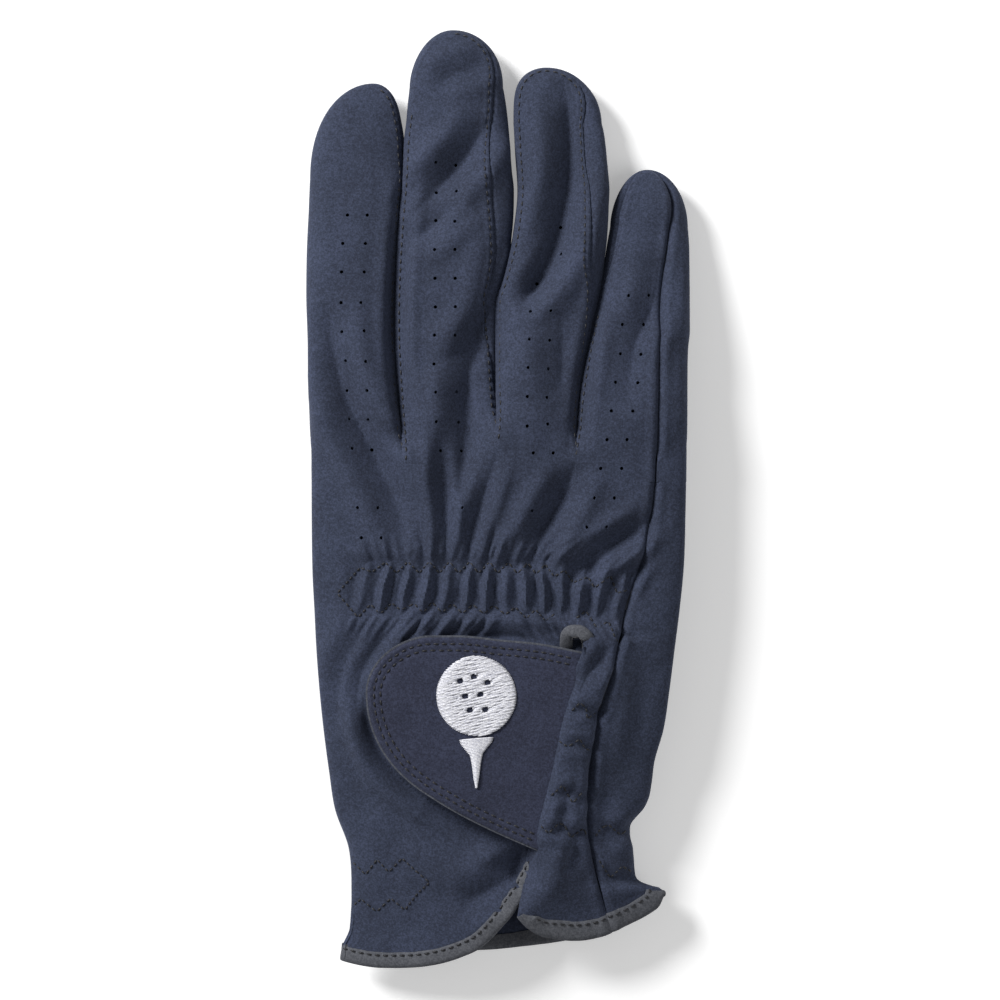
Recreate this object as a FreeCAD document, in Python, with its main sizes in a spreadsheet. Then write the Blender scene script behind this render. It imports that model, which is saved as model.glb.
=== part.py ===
"""Golf glove for the right hand, lying on its palm with the thumb folded under it.

X runs across the knuckles towards the little finger, Y runs from the cuff to the fingertips and
Z is up, away from the palm. The origin is the middle of the glove's footprint on the table.

The hand, each finger and the thumb are flattened tubes of thin cloth. A tube is a loft through slots
(two lines and two arcs), and the same loft, grown or shrunk, gives every layer that lies on it or in it.
"""
import FreeCAD, Part
import os
import Sketcher

V = FreeCAD.Vector

sizes = {
    # cloth and layers
    "wall": 0.8,                 # thickness of the microfibre cloth
    "layer_gap": 0.3,            # free space between a moving layer and the one under it
    "loop_depth": 1.0,           # pile of the loop patch
    "hook_depth": 0.8,           # hooks and their backing
    "lining_depth": 0.6,
    "cover_depth": 0.7,
    "motif_depth": 0.6,          # raised embroidery
    "elastic_depth": 0.9,
    "elastic_clearance": 0.05,   # between the wrist's elastic and the cloth that lies on the table
    "tape_depth": 0.5,           # one layer of the binding tape
    "tape_reach": 4.5,           # how far the binding reaches over the cloth
    "tape_overhang": 0.6,
    "press_flat": 0.2,           # how far a round underside is pressed flat by the table
    # fingers, which all start from one line of creases
    "finger_gap": 0.8,
    "finger_root_depth": 13.0,
    "finger_tip_depth": 10.5,
    "fourchette_reach": 3.6,     # how far in from a finger's edge its side strip is sewn
    "outer_seam_reach": 5.5,     # the same for the outer seam along the little finger
    "crease_long": 14.0,         # soft cloth between the hand and a finger tube
    # hand, from the creases back to the cuff; "back" is a distance from the creases
    "hand_long": 123.5,
    "hand_top": 13.0,            # height of the back over the palm at the creases
    "tab_start_back": 36.0,
    "tab_start_width": 90.8,
    "tab_start_shift": -0.6,
    "tab_start_top": 12.6,
    "heel_back": 62.0,
    "heel_width": 85.5,
    "heel_shift": -1.2,
    "waist_back": 76.0,
    "waist_width": 81.0,
    "waist_shift": -1.6,
    "wrist_back": 92.0,
    "wrist_width": 71.8,
    "wrist_shift": -2.6,
    "wrist_depth": 15.3,
    "cuff_back": 104.5,
    "cuff_width": 78.5,
    "cuff_shift": 2.2,
    "mouth_width": 82.5,
    "mouth_shift": 1.8,
    # the outer seam, on the back of the hand near the little finger's edge
    "knuckle_seam": 38.7,
    "tab_start_seam": 31.0,
    "heel_seam": 24.8,
    "waist_seam": 22.8,
    "wrist_seam": 23.2,
    "cuff_seam": 26.0,
    # back opening and its tab
    "slit_top_left": 20.8,
    "slit_top_back": 41.0,
    "slit_lean": 20.6,           # sideways run of the opening down to the cuff
    "slit_overlap": 8.0,
    "flap_edge": 2.2,            # from the tab's fold to the flap's edge
    "tab_top_back": 42.6,
    "tab_root_long": 49.0,
    "tab_nose_radius": 19.0,
    "tab_nose_reach": 34.0,      # from the fold to the middle of the nose arc
    "tab_nose_drop": 16.5,
    "patch_inset": 5.0,
    "hook_root_inset": 9.0,
    "loop_margin": 1.5,
    "anchor_gap": 1.4,           # from the fold to the strip that anchors the tab
    "anchor_width": 6.0,
    "motif_ball": 9.5,           # radius of the embroidered ball
    "motif_reach": 25.0,
    "motif_drop": 13.5,
    "tee_long": 11.0,
    "tee_width": 5.5,
    "tee_point": 1.1,
    "thread_gap": 0.6,
    # elastics
    "knuckle_elastic_back": 28.0,
    "knuckle_elastic_width": 14.0,
    "knuckle_elastic_left": 39.5,
    "knuckle_elastic_right": 32.0,
    "wrist_elastic_back": 101.0,
    "wrist_elastic_width": 11.0,
    "wrist_elastic_end": 17.0,
    "wrist_elastic_far": 25.0,
    "flap_elastic_width": 5.0,
    "flap_elastic_drop": 2.0,    # its start, below the tab's upper edge
    # hems
    "left_hem_radius": 36.0,
    "left_hem_shift": -25.0,
    "left_binding_past": 2.0,    # how far its tape runs past the opening's edge
    "flap_hem_radius": 25.4,
    "flap_hem_shift": 21.4,
    "flap_hem_rise": 7.0,
    "flap_binding_drop": 12.0,   # where its tape ends, below the middle of the hem's arc
    "palm_hem_radius": 112.8,
    "palm_hem_shift": -2.0,
    "palm_hem_rise": 3.6,
    "palm_binding_long": 30.0,
    # thumb, folded under the palm
    "thumb_depth": 6.2,
    "thumb_clearance": 0.4,
    "thumb_width": 23.0,
    "thumb_tip": 19.0,
    "thumb_long": 50.0,
    "thumb_lean": 54.0,          # degrees from the fingers' direction
    "thumb_root_in": 14.5,       # thumb's root, from the hand's index edge
    "thumb_root_back": 42.0,
    "thumb_crease_long": 8.0,
    # how far a form runs on past the line where it is cut off
    "run_past": 4.0,
}

# Widths of each finger at its root, halfway and where its tip starts to round, how far its middle
# line stands aside there and at the very end, and its length beyond the crease.
finger_sizes = {
    "index": {"root_width": 21.7, "half_width": 22.3, "tip_width": 22.4,
              "half_shift": -0.4, "tip_shift": 0.9, "end_shift": 3.4, "long": 84.0},
    "middle": {"root_width": 24.7, "half_width": 27.6, "tip_width": 24.5,
               "half_shift": 2.0, "tip_shift": 1.7, "end_shift": 1.0, "long": 97.5},
    "ring": {"root_width": 19.2, "half_width": 23.2, "tip_width": 22.3,
             "half_shift": 5.3, "tip_shift": 4.6, "end_shift": 2.4, "long": 88.0},
    "little": {"root_width": 26.6, "half_width": 21.5, "tip_width": 18.5,
               "half_shift": 2.9, "tip_shift": 3.7, "end_shift": 3.6, "long": 62.5},
}
fingers = list(finger_sizes)
for finger, values in finger_sizes.items():
    for name, value in values.items():
        sizes[f"{finger}_{name}"] = value

# Blocks that only divide or trim the cloth reach well clear of the glove.
beside = "80"
under_all, over_all = -5, 45

doc = FreeCAD.newDocument("golf_glove")
sheet = doc.addObject("Spreadsheet::Sheet", "sizes")
for row, (alias, value) in enumerate(sizes.items(), start=1):
    sheet.set(f"A{row}", str(value))
    sheet.setAlias(f"A{row}", alias)
doc.recompute()


def size(alias):
    """The expression that reads one cell."""
    return f"sizes.{alias}"


# Places worked out from the sizes.
gap = size("finger_gap")
knuckles_across = "(" + " + ".join(size(f"{f}_root_width") for f in fingers) + f" + 3 * {gap})"
total_long = "(sizes.middle_long + sizes.crease_long + sizes.hand_long)"
hand_end = f"({total_long} / 2 - sizes.middle_long - sizes.crease_long)"
cuff_end = f"(-{total_long} / 2)"
tube_start = f"({hand_end} + sizes.crease_long)"
palm_rise = "(sizes.thumb_depth + sizes.thumb_clearance)"
finger_middle = {}
left_edge = f"(-{knuckles_across} / 2)"
for finger in fingers:
    finger_middle[finger] = f"({left_edge} + {size(finger + '_root_width')} / 2)"
    left_edge = f"({left_edge} + {size(finger + '_root_width')} + {gap})"

hook_base = "(sizes.loop_depth + sizes.layer_gap)"
lining_base = f"({hook_base} + sizes.hook_depth)"
cover_base = f"({lining_base} + sizes.lining_depth)"
motif_base = f"({cover_base} + sizes.cover_depth)"
flap_base = f"({motif_base} + sizes.layer_gap)"

# The back of the hand is flat under the tab, from the tab's start to the wrist.
tab_start_height = f"({palm_rise} + sizes.tab_start_top)"
wrist_height = "(sizes.wrist_depth - sizes.press_flat)"


def flat_height(back):
    """Height of the back between the tab's start and the wrist."""
    share = f"(({back}) - sizes.tab_start_back) / (sizes.wrist_back - sizes.tab_start_back)"
    return f"({tab_start_height} + ({wrist_height} - {tab_start_height}) * {share})"


def heel_floor(back):
    """Height of the palm's underside between the heel of the hand and the wrist."""
    share = f"(({back}) - sizes.heel_back) / (sizes.wrist_back - sizes.heel_back)"
    return f"({palm_rise} - ({palm_rise} + sizes.press_flat) * {share})"


run_out = "(sizes.hand_long + sizes.run_past)"   # the hems are cut from cloth that runs past the cuff
floor = "(-sizes.press_flat)"
# Each station of the hand: distance back, middle, width, underside, top, outer seam.
hand_stations = [
    ("0", "0", knuckles_across, palm_rise, f"({palm_rise} + sizes.hand_top)", size("knuckle_seam")),
    (size("tab_start_back"), size("tab_start_shift"), size("tab_start_width"), palm_rise,
     tab_start_height, size("tab_start_seam")),
    (size("heel_back"), size("heel_shift"), size("heel_width"), palm_rise,
     flat_height("sizes.heel_back"), size("heel_seam")),
    (size("waist_back"), size("waist_shift"), size("waist_width"), heel_floor("sizes.waist_back"),
     flat_height("sizes.waist_back"), size("waist_seam")),
    (size("wrist_back"), size("wrist_shift"), size("wrist_width"), floor, wrist_height,
     size("wrist_seam")),
    (size("cuff_back"), size("cuff_shift"), size("cuff_width"), floor, wrist_height,
     size("cuff_seam")),
    (run_out, size("mouth_shift"), size("mouth_width"), floor, wrist_height, size("cuff_seam")),
]


# Small builders.
def bind(thing, properties):
    """Ties properties of a document object to expressions."""
    for name, expression in properties.items():
        thing.setExpression(name, str(expression))
    return thing


def box(name, low, high):
    """A block between two corners, each given as three expressions."""
    made = doc.addObject("Part::Box", name)
    return bind(made, {
        "Length": f"({high[0]}) - ({low[0]})",
        "Width": f"({high[1]}) - ({low[1]})",
        "Height": f"({high[2]}) - ({low[2]})",
        ".Placement.Base.x": low[0],
        ".Placement.Base.y": low[1],
        ".Placement.Base.z": low[2],
    })


def post(name, x, y, radius):
    """A round upright block."""
    made = doc.addObject("Part::Cylinder", name)
    return bind(made, {
        "Radius": radius,
        "Height": over_all - under_all,
        ".Placement.Base.x": x,
        ".Placement.Base.y": y,
        ".Placement.Base.z": under_all,
    })


def cut(name, base, tool):
    made = doc.addObject("Part::Cut", name)
    made.Base, made.Tool = base, tool
    return made


def common(name, *parts):
    made = doc.addObject("Part::MultiCommon", name)
    made.Shapes = list(parts)
    return made


def fuse(name, *parts):
    made = doc.addObject("Part::MultiFuse", name)
    made.Shapes = list(parts)
    return made


def slot(name, x, y, z, width, depth, grow):
    """An upright slot-shaped sketch across a tube, grown outwards by one value all round."""
    sketch = doc.addObject("Sketcher::SketchObject", name)
    sketch.Placement = FreeCAD.Placement(V(0, 0, 0), FreeCAD.Rotation(V(1, 0, 0), 90))
    run, radius = 8.0, 4.0     # rough, replaced by the constraints
    centre = {-1: V(-run, 0, 0), 1: V(run, 0, 0)}
    up = V(0, radius, 0)
    sketch.addGeometry(Part.LineSegment(centre[1] + up, centre[-1] + up))
    sketch.addGeometry(Part.Arc(centre[-1] + up, centre[-1] - V(radius, 0, 0), centre[-1] - up))
    sketch.addGeometry(Part.LineSegment(centre[-1] - up, centre[1] - up))
    sketch.addGeometry(Part.Arc(centre[1] - up, centre[1] + V(radius, 0, 0), centre[1] + up))
    left, right, origin = 1, 3, -1
    meetings = ((0, left, 2, 1), (2, left, 1, 2), (2, right, 2, 1), (0, right, 1, 2))
    for line, arc, line_end, arc_end in meetings:
        sketch.addConstraint(Sketcher.Constraint("Tangent", line, line_end, arc, arc_end))
    sketch.addConstraint(Sketcher.Constraint("Symmetric", left, 3, right, 3, origin, 1))
    sketch.addConstraint(Sketcher.Constraint("PointOnObject", right, 3, -1))
    sketch.addConstraint(Sketcher.Constraint("Equal", left, right))
    radius_at = sketch.addConstraint(Sketcher.Constraint("Radius", right, radius))
    run_at = sketch.addConstraint(Sketcher.Constraint("DistanceX", origin, 1, right, 3, run))
    sketch.renameConstraint(radius_at, "radius")
    sketch.renameConstraint(run_at, "run")
    return bind(sketch, {
        "Constraints.radius": f"({depth}) / 2 + ({grow})",
        "Constraints.run": f"(({width}) - ({depth})) / 2",
        ".Placement.Base.x": x,
        ".Placement.Base.y": y,
        ".Placement.Base.z": z,
    })


def oblong(name, low_x, high_x, y, low_z, high_z):
    """An upright rectangular sketch, for the lofted blocks that divide a tube."""
    sketch = doc.addObject("Sketcher::SketchObject", name)
    sketch.Placement = FreeCAD.Placement(V(0, 0, 0), FreeCAD.Rotation(V(1, 0, 0), 90))
    corners = [V(-60, 0, 0), V(60, 0, 0), V(60, 40, 0), V(-60, 40, 0)]
    for here in range(4):
        sketch.addGeometry(Part.LineSegment(corners[here], corners[(here + 1) % 4]))
    for here in range(4):
        sketch.addConstraint(Sketcher.Constraint("Coincident", here, 2, (here + 1) % 4, 1))
    for line, kind in ((0, "Horizontal"), (1, "Vertical"), (2, "Horizontal"), (3, "Vertical")):
        sketch.addConstraint(Sketcher.Constraint(kind, line))
    spans = {
        "low_x": ("DistanceX", 0, 1, low_x, -60.0),
        "low_z": ("DistanceY", 0, 1, low_z, 0.0),
        "high_x": ("DistanceX", 2, 1, high_x, 60.0),
        "high_z": ("DistanceY", 2, 1, high_z, 40.0),
    }
    for label, (kind, line, end, expression, value) in spans.items():
        at = sketch.addConstraint(Sketcher.Constraint(kind, -1, 1, line, end, value))
        sketch.renameConstraint(at, label)
        sketch.setExpression(f"Constraints.{label}", expression)
    return bind(sketch, {".Placement.Base.y": y})


def upright(name, sketch):
    """The block that stands on a closed sketch."""
    sketch.Placement.Base.z = under_all
    made = doc.addObject("Part::Extrusion", name)
    made.Base, made.DirMode, made.Solid = sketch, "Normal", True
    made.LengthFwd = over_all - under_all
    return made


def prism(name, points):
    """An upright block on a polygon whose corners are pairs of expressions."""
    sketch = doc.addObject("Sketcher::SketchObject", name + "_outline")
    count = len(points)
    # rough places, which the constraints replace
    rough = [V(20, 20, 0), V(-20, 20, 0), V(-20, -20, 0), V(20, -20, 0)]
    for here in range(count):
        sketch.addGeometry(Part.LineSegment(rough[here], rough[(here + 1) % count]))
    for here in range(count):
        sketch.addConstraint(Sketcher.Constraint("Coincident", here, 2, (here + 1) % count, 1))
    for here, (x, y) in enumerate(points):
        for kind, label, expression, value in (("DistanceX", "x", x, rough[here].x),
                                               ("DistanceY", "y", y, rough[here].y)):
            at = sketch.addConstraint(Sketcher.Constraint(kind, -1, 1, here, 1, value))
            sketch.renameConstraint(at, f"{label}{here}")
            sketch.setExpression(f"Constraints.{label}{here}", expression)
    return upright(name, sketch)


def loft(name, sections):
    made = doc.addObject("Part::Loft", name)
    made.Sections, made.Solid, made.Ruled = sections, True, True
    return made


def slab(name, top):
    """Everything below a height, over more than the glove's whole footprint."""
    return box(name, ("-150", "-200", "-30"), ("150", "200", top))


table = slab("table", "0")
table_inside = slab("table_inside", size("wall"))


# The hand and the layers on it.
hand_lofts = {}


def hand(grow):
    """The hand's solid form, grown outwards by an expression."""
    if grow not in hand_lofts:
        name = f"hand_form_{len(hand_lofts)}"
        sections = []
        for place, (back, middle, width, under, top, _) in enumerate(hand_stations):
            sections.append(slot(f"{name}_section_{place}", middle, f"{hand_end} - {back}",
                                 f"({under} + {top}) / 2", width, f"({top} - {under})", grow))
        hand_lofts[grow] = loft(name, sections)
    return hand_lofts[grow]


def dorsal_block(name, inset="0"):
    """Everything above the hand's middle height, from the index edge to the outer seam."""
    sections = []
    for place, (back, _, _, under, top, seam) in enumerate(hand_stations):
        sections.append(oblong(f"{name}_section_{place}", f"-{beside}", f"{seam} - ({inset})",
                               f"{hand_end} - {back}", f"({under} + {top}) / 2", f"{over_all}"))
    return loft(name, sections)


def slit_x(back, aside="0"):
    """Where the back opening's edge is, at a distance back from the hand's end."""
    along = f"(({back}) - sizes.slit_top_back) / (sizes.hand_long - sizes.slit_top_back)"
    return f"(sizes.slit_top_left - sizes.slit_lean * {along} + ({aside}))"


far_back = "(sizes.hand_long + 3 * sizes.run_past)"


def right_of_slit(name, aside, top_drop="0"):
    """The block to the right of the opening, from a drop below its top down to the cuff."""
    top = f"(sizes.slit_top_back + ({top_drop}))"
    return prism(name, [
        (slit_x(top, aside), f"{hand_end} - {top}"),
        (slit_x(far_back, aside), f"{hand_end} - {far_back}"),
        (beside, f"{hand_end} - {far_back}"),
        (beside, f"{hand_end} - {top}"),
    ])


def layer(name, outline, base, depth, *limits):
    """Cloth of one depth that follows the hand at a height above it, inside an outline."""
    between = cut(name + "_layer", hand(f"({base} + {depth})"), hand(base))
    return common(name, between, outline, *limits)


shell_outside = cut("hand_outside", hand("0"), table)
shell_inside = cut("hand_inside", hand("(-sizes.wall)"), table_inside)
hand_shell = cut("hand_shell", shell_outside, shell_inside)
dorsal = dorsal_block("dorsal_block")
dorsal_inner = dorsal_block("dorsal_block_inner", size("wall"))


def across_hand(name, low_y, high_y, low_x=f"-{beside}", high_x=beside):
    """A block from under the glove to over it, between two lines across the hand."""
    return box(name, (low_x, low_y, f"{under_all}"), (high_x, high_y, f"{over_all}"))


def hem_block(name, shift, radius, rise, straight_from):
    """A round-cornered block whose lowest arc is a hem; above a line it is as wide as the hand."""
    middle = f"({cuff_end} + {rise} + {radius})"
    arc = post(name + "_arc", shift, middle, radius)
    if straight_from is None:
        return arc
    upper = across_hand(name + "_upper", straight_from, f"{hand_end} + sizes.run_past")
    return fuse(name, arc, upper)


overhang = size("tape_overhang")
left_hem_line = f"({cuff_end} + {overhang} + sizes.left_hem_radius)"
flap_hem_line = f"({cuff_end} + sizes.flap_hem_rise + sizes.flap_hem_radius)"
left_hem = hem_block("left_hem", size("left_hem_shift"), size("left_hem_radius"), overhang, left_hem_line)
flap_hem = hem_block("flap_hem", size("flap_hem_shift"), size("flap_hem_radius"),
                     size("flap_hem_rise"), flap_hem_line)
palm_hem = hem_block("palm_hem", size("palm_hem_shift"), size("palm_hem_radius"), size("palm_hem_rise"), None)

open_side = right_of_slit("open_side", size("slit_overlap"))
back_whole = common("back_whole", hand_shell, dorsal, left_hem)
back_closed = cut("back_closed", back_whole, open_side)
palm_whole = cut("palm_whole", hand_shell, dorsal)
palm_panel = common("palm_panel", palm_whole, palm_hem)

flap_side = right_of_slit("flap_side", size("flap_edge"))
flap_side_inner = right_of_slit("flap_side_inner", "(sizes.flap_edge - sizes.run_past)", size("wall"))
flap_hollow = common("flap_hollow", hand(flap_base), flap_side_inner, dorsal_inner)
flap_whole = cut("flap_whole", hand(f"({flap_base} + sizes.wall)"), flap_hollow)
flap_skin = cut("flap_skin", flap_whole, hand("(-sizes.wall)"))
back_flap = common("back_flap", flap_skin, flap_side, dorsal, flap_hem)
back_panel = cut("back_panel", back_closed, back_flap)

# The closing tab.
tab_top_x = slit_x(size("tab_top_back"))
tab_top_y = f"({hand_end} - sizes.tab_top_back)"
tab_low_back = "(sizes.tab_top_back + sizes.tab_root_long)"
tab_low_x = slit_x(tab_low_back)
tab_low_y = f"({hand_end} - {tab_low_back})"
nose_x = f"({tab_top_x} - sizes.tab_nose_reach)"
nose_y = f"({tab_top_y} - sizes.tab_nose_drop)"


def tab_outline(name, inset, root_inset):
    """The tab's outline: its fold line, and two edges that run tangent to the round nose."""
    sketch = doc.addObject("Sketcher::SketchObject", name + "_outline")
    # rough places, which the constraints replace
    top, low = V(19.0, -39.0, 0), V(7.0, -88.0, 0)
    upper_end, nose, lower_end = V(-12.0, -35.0, 0), V(-33.0, -54.0, 0), V(-23.0, -71.0, 0)
    sketch.addGeometry(Part.LineSegment(top, upper_end))
    sketch.addGeometry(Part.Arc(upper_end, nose, lower_end))
    sketch.addGeometry(Part.LineSegment(lower_end, low))
    sketch.addGeometry(Part.LineSegment(low, top))
    sketch.addConstraint(Sketcher.Constraint("Tangent", 0, 2, 1, 1))
    sketch.addConstraint(Sketcher.Constraint("Tangent", 1, 2, 2, 1))
    sketch.addConstraint(Sketcher.Constraint("Coincident", 2, 2, 3, 1))
    sketch.addConstraint(Sketcher.Constraint("Coincident", 3, 2, 0, 1))
    places = {
        "nose_x": ("DistanceX", 1, 3, nose_x, -14.0),
        "nose_y": ("DistanceY", 1, 3, nose_y, -54.0),
        "top_x": ("DistanceX", 0, 1, f"{tab_top_x} - ({root_inset})", 19.0),
        "top_y": ("DistanceY", 0, 1, f"{tab_top_y} - ({inset})", -39.0),
        "low_x": ("DistanceX", 3, 1, f"{tab_low_x} - ({root_inset})", 7.0),
        "low_y": ("DistanceY", 3, 1, f"{tab_low_y} + ({inset})", -88.0),
    }
    for label, (kind, part, end, expression, value) in places.items():
        at = sketch.addConstraint(Sketcher.Constraint(kind, -1, 1, part, end, value))
        sketch.renameConstraint(at, label)
        sketch.setExpression(f"Constraints.{label}", expression)
    at = sketch.addConstraint(Sketcher.Constraint("Radius", 1, 19.0))
    sketch.renameConstraint(at, "nose")
    sketch.setExpression("Constraints.nose", f"sizes.tab_nose_radius - ({inset})")
    return upright(name, sketch)


upper_side = dorsal_block("upper_side", f"-{beside}")
tab_cover = layer("tab_cover", tab_outline("tab_cover_block", "0", "0"), cover_base,
                  size("cover_depth"), upper_side)
tab_lining = layer("tab_lining", tab_outline("tab_lining_block", "0.4", "0"), lining_base,
                   size("lining_depth"), upper_side)
hook_patch = layer("hook_patch",
                   tab_outline("hook_patch_block", size("patch_inset"), size("hook_root_inset")),
                   hook_base, size("hook_depth"), upper_side)
loop_patch = layer("loop_patch",
                   tab_outline("loop_patch_block", f"(sizes.patch_inset - sizes.loop_margin)",
                               f"(sizes.hook_root_inset - sizes.loop_margin)"),
                   "0", size("loop_depth"), upper_side)


def slit_strip(name, near, width, top_back, low_back):
    """A block beside the opening's edge, between two distances back from the hand's end."""
    return prism(name, [
        (slit_x(top_back, near), f"{hand_end} - ({top_back})"),
        (slit_x(low_back, near), f"{hand_end} - ({low_back})"),
        (slit_x(low_back, f"{near} + {width}"), f"{hand_end} - ({low_back})"),
        (slit_x(top_back, f"{near} + {width}"), f"{hand_end} - ({top_back})"),
    ])


anchor_near = size("anchor_gap")
tab_anchor = layer("tab_anchor",
                   slit_strip("tab_anchor_block", anchor_near, size("anchor_width"),
                              size("tab_top_back"), tab_low_back),
                   lining_base, f"({flap_base} - {lining_base})", upper_side, dorsal_inner)
flap_elastic_near = f"({anchor_near} + sizes.anchor_width + sizes.layer_gap)"
flap_elastic = layer("flap_elastic",
                     slit_strip("flap_elastic_block", flap_elastic_near, size("flap_elastic_width"),
                                "(sizes.tab_top_back + sizes.flap_elastic_drop)", tab_low_back),
                     f"({flap_base} - sizes.elastic_depth)", size("elastic_depth"), upper_side,
                     dorsal_inner)

# The raised motif: a ball on a tee.
ball_x = f"({tab_top_x} - sizes.motif_reach)"
ball_y = f"({tab_top_y} - sizes.motif_drop)"
motif_ball = post("motif_ball", ball_x, ball_y, size("motif_ball"))
tee_top = f"({ball_y} - sizes.motif_ball - sizes.thread_gap)"
motif_tee = prism("motif_tee", [
    (f"{ball_x} + sizes.tee_width", tee_top),
    (f"{ball_x} - sizes.tee_width", tee_top),
    (f"{ball_x} - sizes.tee_point", f"{tee_top} - sizes.tee_long"),
    (f"{ball_x} + sizes.tee_point", f"{tee_top} - sizes.tee_long"),
])
motif_blocks = doc.addObject("Part::Compound", "motif_blocks")
motif_blocks.Links = [motif_ball, motif_tee]
embroidery = layer("embroidered_motif", motif_blocks, motif_base, size("motif_depth"), upper_side)

# Elastics inside the hand.
inside = "(-sizes.wall - sizes.elastic_depth)"


def band(name, back, width, low_x, high_x):
    """A block across the hand, centred at a distance back from its end."""
    middle = f"{hand_end} - {back}"
    return across_hand(name, f"{middle} - {width} / 2", f"{middle} + {width} / 2", low_x, high_x)


knuckle_elastic = layer("knuckle_elastic",
                        band("knuckle_band", size("knuckle_elastic_back"), size("knuckle_elastic_width"),
                             "(-sizes.knuckle_elastic_left)", size("knuckle_elastic_right")),
                        inside, size("elastic_depth"), dorsal_inner)
wrist_ring = layer("wrist_ring",
                   band("wrist_band", size("wrist_elastic_back"), size("wrist_elastic_width"),
                        f"-{beside}", beside),
                   inside, size("elastic_depth"))
wrist_left_out = common("wrist_left_out", upper_side,
                        band("wrist_free", size("wrist_elastic_back"),
                             "(sizes.wrist_elastic_width + sizes.run_past)",
                             "(-sizes.wrist_elastic_end)", size("wrist_elastic_far")))
wrist_floor = cut("wrist_on_palm", wrist_ring, wrist_left_out)
floor_inside = slab("floor_inside", "(sizes.wall + sizes.elastic_clearance)")
wrist_elastic = cut("wrist_elastic", wrist_floor, floor_inside)


# Binding tape on the hems.
past_cuff = f"{cuff_end} - sizes.run_past"


def binding(name, shift, radius, rise, straight_from, panel, *limits, height="0", beyond=None):
    """Tape folded round a hem: outside, inside and past the cloth's edge, less the cloth itself."""
    outer = hem_block(name + "_outer", shift, f"({radius} + {overhang})", f"({rise} - {overhang})", None)
    inner = post(name + "_inner", shift, f"({cuff_end} + {rise} + {radius})",
                 f"({radius} - sizes.tape_reach)")
    ring = cut(name + "_ring", outer, inner)
    lower = across_hand(name + "_lower", past_cuff, straight_from)
    thick = cut(name + "_thick", hand(f"({height} + sizes.tape_depth)"),
                hand(f"({height} - sizes.wall - sizes.tape_depth)"))
    folded = common(name + "_folded", thick, ring, lower, *limits)
    on_table = cut(name + "_on_table", folded, table)
    if not beyond:
        return cut(name, on_table, panel)
    outside_panel = cut(name + "_outside_panel", on_table, panel)
    return cut(name, outside_panel, beyond)


left_binding = binding("left_hem_binding", size("left_hem_shift"), size("left_hem_radius"), overhang,
                       left_hem_line, back_panel,
                       across_hand("left_binding_side", past_cuff, left_hem_line,
                                   high_x=slit_x(size("hand_long"), "sizes.left_binding_past")),
                       dorsal_block("left_binding_dorsal", "0"))
flap_binding = binding("flap_hem_binding", size("flap_hem_shift"), size("flap_hem_radius"),
                       size("flap_hem_rise"), f"({flap_hem_line} - sizes.flap_binding_drop)", back_flap,
                       right_of_slit("flap_binding_side", size("flap_edge")),
                       dorsal_block("flap_binding_dorsal", size("wall")),
                       height=f"({flap_base} + sizes.wall)")
palm_binding = binding("palm_hem_binding", size("palm_hem_shift"), size("palm_hem_radius"),
                       size("palm_hem_rise"), f"({cuff_end} + sizes.palm_binding_long)", palm_panel,
                       beyond=dorsal_block("palm_binding_limit", "(-sizes.layer_gap)"))


# Fingers and thumb.
tip_from = 0.82         # share of a tube's length where its tip starts to round
tip_profile = [         # share of the length, share of the width, share of the depth
    (tip_from, 1.0, 1.0),
    (0.94, 0.78, 0.82),
    (1.0, 0.36, 0.45),
]


def tube_stations(x, start, long, root, half, tip, rise):
    """Stations of a closed tube along +Y that sinks to lie on the table.

    root, half and tip each hold a width and a sideways shift; root and tip also hold a depth, and
    tip the shift of the very end. Each station is: y, middle x, middle z, width, depth.
    """
    def middle(share, depth):
        lift = max(0.0, 1 - share / tip_from)
        return f"({rise} * {lift} - sizes.press_flat * {1 - lift} + {depth} / 2)"
    half_depth = f"(({root['depth']} + {tip['depth']}) / 2)"
    stations = [
        (start, x, middle(0, root["depth"]), root["width"], root["depth"]),
        (f"({start} + {long} / 2)", f"({x} + {half['shift']})", middle(0.5, half_depth), half["width"],
         half_depth),
    ]
    for share, wide, deep in tip_profile:
        aside = (share - tip_from) / (1 - tip_from)
        shift = f"({tip['shift']} * {1 - aside} + {tip['end_shift']} * {aside})"
        stations.append((f"({start} + {long} * {share})", f"({x} + {shift})", middle(share, tip["depth"]),
                         f"({tip['width']} * {wide})", f"({tip['depth']} * {deep})"))
    return stations


def tube(name, stations, grow):
    """The tube's solid form, grown outwards by an expression; its end moves out with the rest."""
    sections = []
    for place, (y, x, z, width, depth) in enumerate(stations):
        last = place == len(stations) - 1
        sections.append(slot(f"{name}_section_{place}", x, f"{y} + ({grow})" if last else y, z, width,
                             depth, grow))
    return loft(name, sections)


def tube_shell(name, stations):
    outside = cut(name + "_outside", tube(name + "_form", stations, "0"), table)
    hollow = cut(name + "_hollow", tube(name + "_room", stations, "(-sizes.wall)"), table_inside)
    return cut(name + "_shell", outside, hollow)


before_root, past_tip = 1, 2     # how far a dividing block runs past its tube


def stations_block(name, stations, low_x, high_x, low_z, high_z):
    """A block that follows the stations; each side is a function of x, z and width."""
    sections = []
    ends = [(f"({stations[0][0]} - {before_root})", *stations[0][1:])]
    ends += stations[1:-1]
    ends += [(f"({stations[-1][0]} + {past_tip})", *stations[-1][1:])]
    for place, (y, x, z, width, _) in enumerate(ends):
        sides = [side(x, z, width) for side in (low_x, high_x, low_z, high_z)]
        sections.append(oblong(f"{name}_section_{place}", sides[0], sides[1], y, sides[2], sides[3]))
    return loft(name, sections)


def fixed(value):
    return lambda x, z, width: value


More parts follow.
